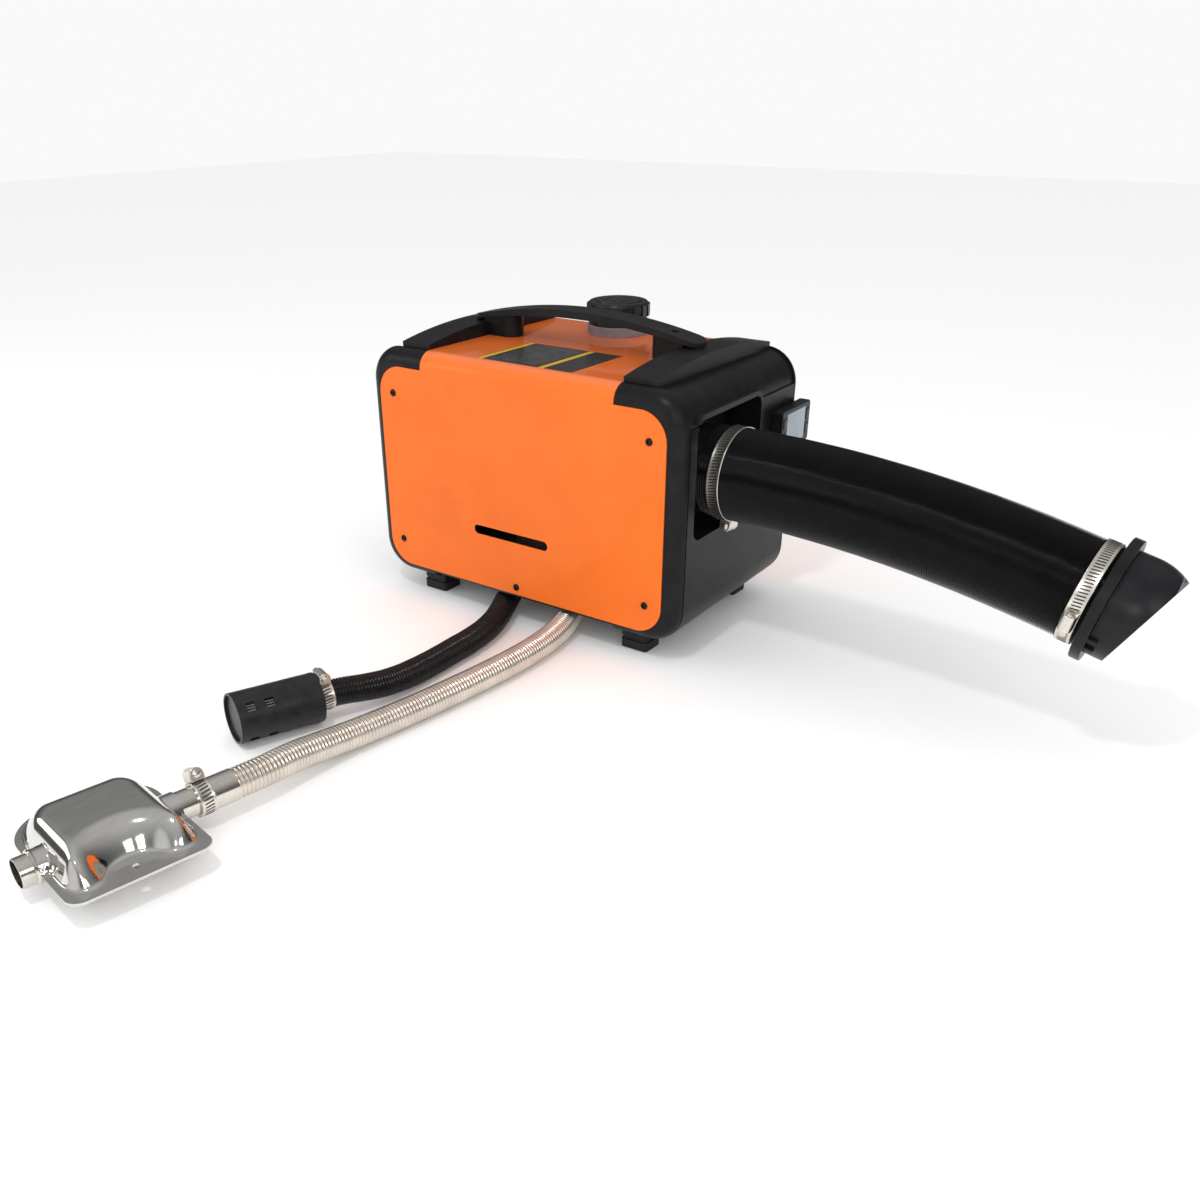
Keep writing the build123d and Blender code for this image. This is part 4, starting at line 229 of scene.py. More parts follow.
def vary_colour(finish, dark, light, size, stretch=(1, 1, 1)):
    """Lets the colour drift between two shades in patches of that size, in metres."""
    tree = finish.node_tree
    cloud = add_node(tree, "ShaderNodeTexNoise", Scale=1 / size, Detail=3.0)
    ramp = add_node(tree, "ShaderNodeValToRGB")
    for element, position, shade in zip(ramp.color_ramp.elements, RAMP_ENDS, (dark, light)):
        element.position = position
        element.color = (*shade, 1)
    tree.links.new(piece_place(finish, stretch), cloud.inputs["Vector"])
    tree.links.new(cloud.outputs["Fac"], ramp.inputs["Fac"])
    tree.links.new(ramp.outputs["Color"], shader_of(finish).inputs["Base Color"])


def relief(finish, size, depth, strength=0.5, stretch=(1, 1, 1), grain=False):
    """A fine relief: a soft noise, or a grain of small cells as on a spark-eroded mould."""
    tree = finish.node_tree
    if grain:
        pattern = add_node(tree, "ShaderNodeTexVoronoi", Scale=1 / size)
        height = pattern.outputs["Distance"]
    else:
        pattern = add_node(tree, "ShaderNodeTexNoise", Scale=1 / size, Detail=4.0)
        height = pattern.outputs["Fac"]
    bump = add_node(tree, "ShaderNodeBump", Strength=strength, Distance=depth)
    tree.links.new(piece_place(finish, stretch), pattern.inputs["Vector"])
    tree.links.new(height, bump.inputs["Height"])
    tree.links.new(bump.outputs["Normal"], shader_of(finish).inputs["Normal"])


# %% [markdown]
# ## The painted sheet
#
# The folded sheet has an orange powder paint under a clear gloss. The photograph shows sharp mirror images
# on the top sheet and hardly any on the upright ones, so the gloss grows with height, just under the top
# sheet.

# %% Orange paint
orange_paint = new_finish(
    "orange_paint", (0.80, 0.155, 0.018), 0.45, coat=1.0, coat_roughness=0.02, shine=0.15)
shader_of(orange_paint).inputs["Coat IOR"].default_value = 1.8
vary_colour(orange_paint, (0.78, 0.150, 0.017), (0.83, 0.163, 0.020), 0.05)
relief(orange_paint, 0.0016, 0.00002, strength=0.12)
GLOSS_HEIGHTS, GLOSS_WEIGHTS = (0.262, 0.2695), (0.06, 1.0)
sheet_spot = add_node(orange_paint.node_tree, "ShaderNodeSeparateXYZ")
orange_paint.node_tree.links.new(piece_place(orange_paint), sheet_spot.inputs[0])
gloss = range_map(orange_paint.node_tree, sheet_spot.outputs["Z"], GLOSS_HEIGHTS, GLOSS_WEIGHTS)
orange_paint.node_tree.links.new(gloss, shader_of(orange_paint).inputs["Coat Weight"])

# %% [markdown]
# ## Black and grey plastics, rubber and paint
#
# Nearly everything else is dark: grained mouldings, a smoother handle, a wet-looking duct, soft rubber.
# What tells them apart is their gloss and grain, so each is one row: its colour and gloss, the two shades
# it drifts between with the size of the patches, and the size, depth and strength of its relief.

# %% One row for each plastic
def plastic(name, colour, roughness, dark, light, patch, grain_size, depth, strength, grain=False, **shader):
    """A finish whose colour drifts and whose surface has a fine relief."""
    finish = new_finish(name, colour, roughness, **shader)
    vary_colour(finish, dark, light, patch)
    relief(finish, grain_size, depth, strength=strength, grain=grain)
    return finish


moulding_black = plastic(
    "moulding_black", (0.006, 0.006, 0.007), 0.36, (0.006, 0.006, 0.007), (0.011, 0.011, 0.012), 0.02,
    0.0009, 0.00012, 0.35, grain=True, shine=0.16)
handle_black = plastic(
    "handle_black", (0.006, 0.006, 0.007), 0.32, (0.006, 0.006, 0.007), (0.011, 0.011, 0.012), 0.015,
    0.0006, 0.00006, 0.3, grain=True, shine=0.2)
hood_grey = plastic(
    "hood_grey", (0.009, 0.0095, 0.011), 0.34, (0.008, 0.0085, 0.010), (0.013, 0.0135, 0.015), 0.02,
    0.0008, 0.00006, 0.25, grain=True, shine=0.2)
duct_black = plastic(
    "duct_black", (0.002, 0.002, 0.0025), 0.16, (0.0015, 0.0015, 0.002), (0.003, 0.003, 0.0035), 0.02,
    0.003, 0.0003, 0.25, shine=0.18)
hose_black = plastic(
    "hose_black", (0.004, 0.004, 0.005), 0.2, (0.004, 0.004, 0.005), (0.009, 0.009, 0.010), 0.01,
    0.002, 0.0002, 0.25, shine=0.25)
silencer_black = plastic(
    "silencer_black", (0.010, 0.009, 0.009), 0.36, (0.010, 0.010, 0.011), (0.018, 0.018, 0.019), 0.01,
    0.0007, 0.00008, 0.3, grain=True, shine=0.3)
foot_rubber = plastic(
    "foot_rubber", (0.008, 0.008, 0.008), 0.55, (0.008, 0.008, 0.008), (0.014, 0.014, 0.014), 0.006,
    0.0012, 0.00015, 0.4, shine=0.3)
cap_black = plastic(
    "cap_black", (0.010, 0.010, 0.011), 0.30, (0.008, 0.008, 0.009), (0.014, 0.014, 0.015), 0.01,
    0.0006, 0.00008, 0.35, grain=True, shine=0.4)
neck_grey = plastic(
    "neck_grey", (0.20, 0.165, 0.18), 0.5, (0.18, 0.15, 0.165), (0.23, 0.19, 0.205), 0.012,
    0.0012, 0.0001, 0.3)
tank_white = plastic(
    "tank_white", (0.55, 0.54, 0.50), 0.45, (0.50, 0.49, 0.45), (0.60, 0.59, 0.55), 0.05,
    0.002, 0.0002, 0.3)
soft_rubber = plastic(
    "soft_rubber", (0.012, 0.012, 0.012), 0.55, (0.009, 0.009, 0.009), (0.017, 0.017, 0.017), 0.005,
    0.001, 0.0001, 0.3)
black_sheet = plastic(
    "black_sheet", (0.012, 0.012, 0.013), 0.4, (0.010, 0.010, 0.011), (0.016, 0.016, 0.017), 0.02,
    0.0015, 0.00005, 0.25)
screw_black = plastic(
    "screw_black", (0.010, 0.009, 0.009), 0.3, (0.007, 0.006, 0.006), (0.02, 0.018, 0.017), 0.002,
    0.0006, 0.00005, 0.3, metal=0.6)
board_green = plastic(
    "board_green", (0.02, 0.10, 0.05), 0.4, (0.015, 0.08, 0.04), (0.03, 0.13, 0.06), 0.004,
    0.001, 0.0001, 0.3)
key_rubber = plastic(
    "key_rubber", (0.045, 0.045, 0.05), 0.5, (0.038, 0.038, 0.042), (0.055, 0.055, 0.06), 0.003,
    0.0005, 0.00005, 0.3)
# A pale grey painted as the highlight on the hood's rim.
rim_grey = plastic(
    "rim_grey", (0.16, 0.165, 0.175), 0.4, (0.13, 0.135, 0.145), (0.19, 0.195, 0.205), 0.01,
    0.0008, 0.00005, 0.25)

# %% [markdown]
# ## Metals
#
# The steel comes in several states: corrugated, drawn, pressed and polished. Inside there is cast alloy
# too. Rolling and drawing leave fine lines along the metal, so where a piece has them the two patterns are
# squeezed across them. A screen, and the dark colour painted as the shade inside the clamps' slots, have no
# relief that could be seen, and only get a colour that drifts.

# %% Steel, alloy, painted slot shade and screen
def brushed(name, colour, roughness, size, stretch, drift=0.12):
    """A metal whose two patterns are squeezed across its fine lines, or left even by (1, 1, 1)."""
    finish = new_finish(name, colour, roughness, metal=1.0)
    dark = tuple(c * (1 - drift) for c in colour)
    light = tuple(min(1.0, c * (1 + drift / 2)) for c in colour)
    vary_colour(finish, dark, light, size, stretch=stretch)
    relief(finish, size, 0.00003, strength=0.2, stretch=stretch)
    return finish


clamp_steel = brushed("clamp_steel", (0.76, 0.72, 0.65), 0.3, 0.004, (1, 6, 6))
hose_steel = brushed("hose_steel", (0.72, 0.66, 0.58), 0.3, 0.02, (1, 1, 1))
sleeve_steel = brushed("sleeve_steel", (0.72, 0.69, 0.63), 0.17, 0.004, (6, 1, 6))
muffler_steel = brushed("muffler_steel", (0.70, 0.69, 0.66), 0.09, 0.02, (4, 1, 4), drift=0.06)
inner_steel = brushed("inner_steel", (0.52, 0.52, 0.52), 0.35, 0.01, (1, 4, 4))
cast_alloy = brushed("cast_alloy", (0.60, 0.60, 0.61), 0.5, 0.003, (1, 1, 1), drift=0.2)
# The slots get a dark colour painted as the shade inside them.
slot_dark = new_finish("slot_dark", (0.035, 0.033, 0.03), 0.5, metal=0.5)
vary_colour(slot_dark, (0.025, 0.023, 0.02), (0.06, 0.055, 0.05), 0.002)
screen_glass = new_finish("screen_glass", (0.20, 0.27, 0.31), 0.12, coat=0.5, coat_roughness=0.03)
vary_colour(screen_glass, (0.17, 0.235, 0.275), (0.235, 0.31, 0.35), 0.03)

# %% [markdown]
# ### The panel on the top sheet
#
# A dark film with two yellow bands and a fine pale ruling lies on the top sheet. The bands and the lines
# are a function of the place on the sheet, so they are worked out in the material, not drawn as separate
# pieces.

# %% Panel film, all lengths in metres
YELLOW_BANDS, YELLOW_HALF_WIDTH = (-0.0520, 0.0240), 0.0032
RULES_PER_METRE, RULE_SHARE, GAP_FINENESS, GAP_LEVEL = 210.0, 0.30, 420.0, 0.44
RULED_MIDDLE, RULED_HALF_LENGTH, RULED_DEPTH_MIDDLE, RULED_HALF_DEPTH = -0.0135, 0.0300, -0.064, 0.037
FILM_DARK, FILM_PALE, FILM_YELLOW = (0.030, 0.030, 0.032, 1), (0.16, 0.16, 0.16, 1), (0.72, 0.42, 0.02, 1)
MIX_SHARE, MIX_FIRST, MIX_SECOND, MIX_RESULT = 0, 6, 7, 2

panel_film = new_finish("panel_film", (0.03, 0.03, 0.032), 0.3, coat=0.4, coat_roughness=0.06)
film_tree = panel_film.node_tree
spot = add_node(film_tree, "ShaderNodeSeparateXYZ")
film_tree.links.new(piece_place(panel_film), spot.inputs[0])
film_x, film_y = spot.outputs["X"], spot.outputs["Y"]


def within(value, middle, half_width):
    """1 where a value lies inside a band, 0 outside it."""
    away = arithmetic(film_tree, "ABSOLUTE", arithmetic(film_tree, "SUBTRACT", value, middle))
    return arithmetic(film_tree, "LESS_THAN", away, half_width)


def both(a, b):
    return arithmetic(film_tree, "MULTIPLY", a, b)


yellow = arithmetic(film_tree, "MAXIMUM", *(within(film_x, x, YELLOW_HALF_WIDTH) for x in YELLOW_BANDS))
saw = arithmetic(film_tree, "FRACT", arithmetic(film_tree, "MULTIPLY", film_y, RULES_PER_METRE))
ruling = arithmetic(film_tree, "LESS_THAN", saw, RULE_SHARE)
gaps = add_node(film_tree, "ShaderNodeTexNoise", Scale=GAP_FINENESS, Detail=1.0)
film_tree.links.new(piece_place(panel_film, (1, 0.25, 1)), gaps.inputs["Vector"])
broken = arithmetic(film_tree, "GREATER_THAN", gaps.outputs["Fac"], GAP_LEVEL)
ruled_part = both(
    within(film_x, RULED_MIDDLE, RULED_HALF_LENGTH), within(film_y, RULED_DEPTH_MIDDLE, RULED_HALF_DEPTH))
pale = both(both(ruling, broken), ruled_part)
ruled_colour = add_node(film_tree, "ShaderNodeMix", data_type="RGBA")
ruled_colour.inputs[MIX_FIRST].default_value = FILM_DARK
ruled_colour.inputs[MIX_SECOND].default_value = FILM_PALE
film_tree.links.new(pale, ruled_colour.inputs[MIX_SHARE])
film_colour = add_node(film_tree, "ShaderNodeMix", data_type="RGBA")
film_colour.inputs[MIX_SECOND].default_value = FILM_YELLOW
film_tree.links.new(yellow, film_colour.inputs[MIX_SHARE])
film_tree.links.new(ruled_colour.outputs[MIX_RESULT], film_colour.inputs[MIX_FIRST])
film_tree.links.new(film_colour.outputs[MIX_RESULT], shader_of(panel_film).inputs["Base Color"])

# %% [markdown]
# ## Which finish each solid gets
#
# The part's record names a material slot for every node. One table turns slots into finishes, so a node
# that shows no piece of its own still has its finish, and so does everything hidden inside the case.

# %% Finishes by slot
FINISH_OF_SLOT = {
    "orange_sheet": orange_paint, "moulding_plastic": moulding_black, "handle_plastic": handle_black,
    "black_screw": screw_black, "foot_rubber": foot_rubber, "duct_plastic": duct_black,
    "clamp_steel": clamp_steel, "cap_plastic": cap_black, "neck_plastic": neck_grey,
    "tank_plastic": tank_white, "gasket_rubber": soft_rubber, "controller_plastic": handle_black,
    "screen_glass": screen_glass, "key_rubber": key_rubber, "board": board_green, "core_alloy": cast_alloy,
    "core_plastic": silencer_black, "inner_steel": inner_steel, "tray_sheet": black_sheet,
    "line_rubber": soft_rubber, "exhaust_steel": hose_steel, "sleeve_steel": sleeve_steel,
    "muffler_steel": muffler_steel, "intake_plastic": hose_black, "silencer_plastic": silencer_black,
    "black_clamp": clamp_steel, "label_film": panel_film,
}
slot_of_node = {entry["node"]: entry["material_slot"] for entry in frame["record"]["subparts"]}
for name, solid in frame["nodes"].items():
    solid.data.materials.clear()
    solid.data.materials.append(FINISH_OF_SLOT[slot_of_node[name]])
body_of_node = {
    name: body for body, names in frame["record"]["behaviour"]["bodies"].items() for name in names
}
print("finishes", len(bpy.data.materials))

# %% [markdown]
# ## Tools for pieces
#
# A solid's mesh is loose triangles, which shade in facets. A piece that only needs crisp, softly rounded
# edges is a merged copy of it: the flat faces are joined again, the edges get a small bevel, and the
# normals follow the large faces. Modelling it afresh would give the same shape and could drift away from
# the solid.

# %% Settle a piece on its body
def settle(piece, finish, node_name, *replaced):
    """Gives a finished mesh its finish, its body and the nodes that it stands for."""
    if finish is not None:
        piece.data.materials.clear()
        piece.data.materials.append(finish)
    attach(piece, body_of_node[node_name])
    if replaced:
        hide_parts(*replaced)
    return piece


def baked(piece):
    """Turns an object's modifiers into a plain mesh."""
    bpy.context.view_layer.update()
    graph = bpy.context.evaluated_depsgraph_get()
    mesh = bpy.data.meshes.new_from_object(piece.evaluated_get(graph), depsgraph=graph)
    piece.modifiers.clear()
    old = piece.data
    if isinstance(old, bpy.types.Mesh):
        piece.data = mesh
        bpy.data.meshes.remove(old)
        return piece
    name = piece.name
    bpy.data.objects.remove(piece)
    return place(bpy.data.objects.new(name, mesh))


def softened(piece, width, angle=32.0, segments=2):
    """Rounds a piece's sharp edges by that width in millimetres and lets its large faces rule the shading."""
    for polygon in piece.data.polygons:
        polygon.use_smooth = True
    bevel = piece.modifiers.new("edges", "BEVEL")
    bevel.width = width * MM
    bevel.segments = segments
    bevel.limit_method = "ANGLE"
    bevel.angle_limit = math.radians(angle)
    bevel.use_clamp_overlap = True
    piece.data.set_sharp_from_angle(angle=math.radians(angle))
    weights = piece.modifiers.new("shading", "WEIGHTED_NORMAL")
    weights.keep_sharp = True
    return baked(piece)


MERGE_REACH, FLAT_ANGLE = 2e-6, 0.6


def merged_copy(node_name, name):
    """A solid's own shape as one joined mesh."""
    mesh = frame["nodes"][node_name].data.copy()
    work = bmesh.new()
    work.from_mesh(mesh)
    bmesh.ops.remove_doubles(work, verts=work.verts, dist=MERGE_REACH)
    flat = math.radians(FLAT_ANGLE)
    bmesh.ops.dissolve_limit(work, angle_limit=flat, verts=work.verts, edges=work.edges)
    work.to_mesh(mesh)
    work.free()
    return place(bpy.data.objects.new(name, mesh))


def dressed(node_name, finish, width, segments=2):
    """A merged copy with softened edges that stands for its node."""
    piece = softened(merged_copy(node_name, node_name + "_skin"), width, segments=segments)
    return settle(piece, finish, node_name, node_name)


# %% [markdown]
# ### Small forms in mesh code
#
# Most small pieces are rings of points joined by faces: round things are turned from a profile, as on a
# lathe, and flat ones are an outline with a thickness. Ready-made cylinders and cubes could be cut to
# shape, but a profile gives every groove and rounded lip in one go, and it can be read off a drawing.

# %% Rings of points, turned profiles and flat forms
SAME_PLACE = 1e-7


def as_object(name, work, sharp=None):
    """Turns mesh work into an object, smooth but for edges sharper than that angle in degrees."""
    mesh = bpy.data.meshes.new(name)
    work.to_mesh(mesh)
    work.free()
    if sharp is not None:
        for polygon in mesh.polygons:
            polygon.use_smooth = True
        mesh.set_sharp_from_angle(angle=math.radians(sharp))
    return bpy.data.objects.new(name, mesh)


def faced(work, placement=None):
    """Turns the faces of mesh work outwards, then puts it in its place."""
    bmesh.ops.recalc_face_normals(work, faces=work.faces)
    if placement is not None:
        work.transform(placement)
    return work


def on_circle(work, radius, turn, height):
    """A new vertex at that radius, angle and height about Z, in millimetres and radians."""
    return work.verts.new((radius * MM * math.cos(turn), radius * MM * math.sin(turn), height * MM))


def joined(work, low, high):
    """Faces between two closed rings of as many vertices."""
    for i in range(len(low)):
        j = (i + 1) % len(low)
        work.faces.new((low[i], low[j], high[j], high[i]))


def strip_of(work, rows):
    """Faces along a strip whose cross-sections are the rows."""
    for a, b in zip(rows, rows[1:]):
        for k in range(len(a)):
            j = (k + 1) % len(a)
            work.faces.new((a[k], b[k], b[j], a[j]))


def axes_at(origin, along, side):
    """A placement whose Z runs along, and whose X is as near as possible to side. Origin in millimetres."""
    z = Vector(along).normalized()
    x = (Vector(side) - z * Vector(side).dot(z)).normalized()
    y = z.cross(x)
    return Matrix.Translation(Vector(origin) * MM) @ Matrix((x, y, z)).transposed().to_4x4()


def turned(name, profile, placement, sides=64, closed=False):
    """A mesh turned about a placement's Z from (radius, height) points in mm; radius 0 closes an end."""
    work = bmesh.new()
    rings = []
    for radius, height in profile:
        count = sides if radius > 0 else 1
        rings.append([on_circle(work, radius, 2 * math.pi * i / sides, height) for i in range(count)])
    pairs = list(zip(rings, rings[1:]))
    if closed:
        pairs.append((rings[-1], rings[0]))
    for low, high in pairs:
        if len(low) == len(high) == sides:
            joined(work, low, high)
            continue
        for i in range(sides):
            j = (i + 1) % sides
            if len(high) == sides:
                work.faces.new((low[0], high[j], high[i]))
            else:
                work.faces.new((low[i], low[j], high[0]))
    return place(as_object(name, faced(work, placement), sharp=40))


def pill(name, depth, width, length, round_share=1.0, corners=5):
    """A flat form with rounded ends: depth along X, width along Y, length along Z, in millimetres."""
    work = bmesh.new()
    radius = min(width, length) / 2 * round_share
    outline = []
    for quarter, (y, z) in enumerate(((1, 1), (-1, 1), (-1, -1), (1, -1))):
        for i in range(corners + 1):
            turn = math.radians(90 * quarter + 90 * i / corners)
            outline.append((
                y * (width / 2 - radius) + radius * math.cos(turn),
                z * (length / 2 - radius) + radius * math.sin(turn),
            ))
    low, high = (
        [work.verts.new((x * MM, y * MM, z * MM)) for y, z in outline] for x in (-depth / 2, depth / 2)
    )
    work.faces.new(low[::-1])
    work.faces.new(high)
    joined(work, low, high)
    bmesh.ops.remove_doubles(work, verts=work.verts, dist=SAME_PLACE)
    return as_object(name, faced(work))


def soft_form(name, *sizes, round_share):
    """A pill with softened edges, kept out of the scene, for a tree to repeat."""
    form = softened(place(pill(name, *sizes, round_share=round_share)), 0.4)
    bpy.context.scene.collection.objects.unlink(form)
    return form


def united(name, *pieces):
    """Joins meshes into one object of that name."""
    work = bmesh.new()
    for piece in pieces:
        work.from_mesh(piece.data)
        bpy.data.objects.remove(piece)
    return place(as_object(name, work))


# %% [markdown]
# ## Ribbed hoses and the duct
#
# A corrugated hose is one profile carried along a line, swelling and shrinking with its length. Geometry
# Nodes do exactly that: the line is divided a few times for each rib, a circle is carried along it, and
# each point is set at a distance from the line that follows a wave. The same tree makes all three, from
# named sizes.

# %% Tools for Geometry Nodes
def new_tree(name, sizes, others=()):
    """A Geometry Nodes tree with a geometry in and out, and named inputs for its sizes."""
    tree = bpy.data.node_groups.new(name, "GeometryNodeTree")
    tree.interface.new_socket("Geometry", in_out="INPUT", socket_type="NodeSocketGeometry")
    for label in sizes:
        tree.interface.new_socket(label, in_out="INPUT", socket_type="NodeSocketFloat")
    for label, kind in others:
        tree.interface.new_socket(label, in_out="INPUT", socket_type=kind)
    tree.interface.new_socket("Geometry", in_out="OUTPUT", socket_type="NodeSocketGeometry")
    return tree, add_node(tree, "NodeGroupInput").outputs


def end_tree(tree, given, geometry):
    """Ends a tree: what it made becomes real, gets its finish and goes out."""
    real = add_node(tree, "GeometryNodeRealizeInstances")
    tree.links.new(geometry, real.inputs["Geometry"])
    painted = add_node(tree, "GeometryNodeSetMaterial")
    tree.links.new(real.outputs["Geometry"], painted.inputs["Geometry"])
    tree.links.new(given["Finish"], painted.inputs["Material"])
    tree.links.new(painted.outputs["Geometry"], add_node(tree, "NodeGroupOutput").inputs["Geometry"])
    return tree


def run_tree(piece, tree, **values):
    """Runs a tree on an object, with its inputs given by name, and returns the plain mesh object."""
    modifier = piece.modifiers.new(tree.name, "NODES")
    modifier.node_group = tree
    for item in tree.interface.items_tree:
        label = item.name.replace(" ", "_")
        if item.in_out == "INPUT" and label in values:
            modifier[item.identifier] = values[label]
    return baked(piece)


# %% The ribbed tube tree
UNEVEN_FINENESS = 55.0


def ribbed_tube_tree():
    """A tube along a line whose radius swells once for each pitch of length."""
    tree, given = new_tree(
        "ribbed_tube", ("Radius", "Rib Depth", "Pitch", "Sharpness", "Unevenness", "Steps"),
        (("Sides", "NodeSocketInt"), ("Finish", "NodeSocketMaterial")),
    )
    link = tree.links.new

    def step(operation, a, b=None, vector=False):
        return arithmetic(tree, operation, a, b, vector)

    divided = add_node(tree, "GeometryNodeResampleCurve", mode="LENGTH")
    link(given["Geometry"], divided.inputs["Curve"])
    link(step("DIVIDE", given["Pitch"], given["Steps"]), divided.inputs["Length"])
    kept = add_node(tree, "GeometryNodeCaptureAttribute", domain="POINT")
    kept.capture_items.new("FLOAT", "Along")
    kept.capture_items.new("VECTOR", "Spine")
    link(divided.outputs["Curve"], kept.inputs["Geometry"])
    link(add_node(tree, "GeometryNodeSplineParameter").outputs["Length"], kept.inputs["Along"])
    link(add_node(tree, "GeometryNodeInputPosition").outputs["Position"], kept.inputs["Spine"])
    ring = add_node(tree, "GeometryNodeCurvePrimitiveCircle", mode="RADIUS")
    link(given["Sides"], ring.inputs["Resolution"])
    link(given["Radius"], ring.inputs["Radius"])
    skin = add_node(tree, "GeometryNodeCurveToMesh")
    link(kept.outputs["Geometry"], skin.inputs["Curve"])
    link(ring.outputs["Curve"], skin.inputs["Profile Curve"])

    turns = step("MULTIPLY", step("DIVIDE", kept.outputs["Along"], given["Pitch"]), 2 * math.pi)
    wave = step("MULTIPLY", step("ADD", step("COSINE", turns), 1.0), 0.5)
    below_crest = step("SUBTRACT", 1.0, step("POWER", wave, given["Sharpness"]))
    sunk = step("MULTIPLY", below_crest, given["Rib Depth"])
    cloud = add_node(tree, "ShaderNodeTexNoise", Scale=UNEVEN_FINENESS, Detail=1.0)
    uneven = step("MULTIPLY", cloud.outputs[0], given["Unevenness"])
    reach = step("SUBTRACT", step("SUBTRACT", given["Radius"], sunk), uneven)

    here = add_node(tree, "GeometryNodeInputPosition").outputs["Position"]
    outward = step("NORMALIZE", step("SUBTRACT", here, kept.outputs["Spine"], vector=True), vector=True)
    scaled = add_node(tree, "ShaderNodeVectorMath", operation="SCALE")
    link(outward, scaled.inputs[0])
    link(reach, scaled.inputs["Scale"])
    moved = add_node(tree, "GeometryNodeSetPosition")
    link(skin.outputs["Mesh"], moved.inputs["Geometry"])
    link(step("ADD", kept.outputs["Spine"], scaled.outputs[0], vector=True), moved.inputs["Position"])
    smooth = add_node(tree, "GeometryNodeSetShadeSmooth")
    link(moved.outputs["Geometry"], smooth.inputs["Geometry"])
    return end_tree(tree, given, smooth.outputs["Geometry"])


ribbed_tube = ribbed_tube_tree()


def ribbed(name, node_name, points, radius, depth, pitch, sharpness, unevenness, steps, sides, finish):
    """A ribbed tube along points in metres, in place of its node. Other sizes in millimetres."""
    curve = bpy.data.curves.new(name, "CURVE")
    curve.dimensions = "3D"
    spline = curve.splines.new("POLY")
    spline.points.add(len(points) - 1)
    for knot, spot in zip(spline.points, points):
        knot.co = (*spot, 1)
    tube = run_tree(
        place(bpy.data.objects.new(name, curve)), ribbed_tube, Radius=radius * MM, Rib_Depth=depth * MM,
        Pitch=pitch * MM, Sharpness=sharpness, Unevenness=unevenness * MM, Steps=steps, Sides=sides,
        Finish=finish,
    )
    polygon = tube.data.polygons[len(tube.data.polygons) // 2]
    nearest = min(points, key=lambda spot: (spot - polygon.center).length)
    if polygon.normal.dot(polygon.center - nearest) < 0:
        tube.data.flip_normals()
    print(name, len(tube.data.polygons), "faces")
    return settle(tube, None, node_name, node_name)


# %% [markdown]
# ### The two hoses
#
# The exhaust hose is a strip of stainless steel wound into round, even folds. The intake hose is finely
# ribbed black plastic, a little uneven from being bent. Both are 26.4 mm across their ribs.

# %% Exhaust and intake hoses
exhaust_hose = ribbed(
    "exhaust_corrugated", "exhaust_hose", exhaust_line, radius=13.2, depth=1.25, pitch=3.6, sharpness=0.7,
    unevenness=0.0, steps=8.0, sides=48, finish=hose_steel,
)
intake_hose = ribbed(
    "intake_ribbed", "intake_hose", intake_line, radius=13.2, depth=1.0, pitch=3.0, sharpness=1.0,
    unevenness=0.5, steps=6.0, sides=48, finish=hose_black,
)

# %% [markdown]
# ### The hot-air duct
#
# The duct leaves the case straight, sinks in a long bow under its own weight, and ends straight in its
# ring. Its middle line is a rule of three lengths, so a function gives each point of it, and later the
# ring's place too.

# %% Duct, in millimetres and degrees
CORE_Y, CORE_Z = -34.0, 179.0
DUCT_START_X, BOW_START_X, BOW_RADIUS, BOW_ANGLE, DUCT_TAIL = 184.0, 212.0, 1345.0, 13.1, 30.0
DUCT_STEPS = 90
bow_end = math.radians(BOW_ANGLE)


def duct_point(distance):
    """A point on the duct's middle line, that far along it, in millimetres."""
    start = BOW_START_X - DUCT_START_X
    if distance <= start:
        return Vector((DUCT_START_X + distance, CORE_Y, CORE_Z))
    turn = min((distance - start) / BOW_RADIUS, bow_end)
    rest = distance - start - turn * BOW_RADIUS
    x = BOW_START_X + BOW_RADIUS * math.sin(turn) + rest * math.cos(turn)
    z = CORE_Z - BOW_RADIUS * (1 - math.cos(turn)) - rest * math.sin(turn)
    return Vector((x, CORE_Y, z))


duct_length = BOW_START_X - DUCT_START_X + BOW_RADIUS * bow_end + DUCT_TAIL
ribbed(
    "duct_ribbed", "hot_air_duct",
    [duct_point(duct_length * i / DUCT_STEPS) * MM for i in range(DUCT_STEPS + 1)],
    radius=44.45, depth=1.2, pitch=2.2, sharpness=1.3, unevenness=0.4, steps=6.0, sides=92, finish=duct_black,
)
DUCT_END = duct_point(duct_length)
DUCT_AXIS = Vector((math.cos(bow_end), 0, -math.sin(bow_end)))
print("duct", round(duct_length, 1), "mm, end", [round(v, 2) for v in DUCT_END])

# %% [markdown]
# ## The pieces that keep their solids' shapes
#
# The folded orange sheet, the two mouldings, the handle, the feet and many small parts already have their
# true shapes in the solids. They only need crisp small bevels, which catch the light as real edges do.
# Widths differ: a pressed sheet is nearly sharp, and a rubber key is quite round.

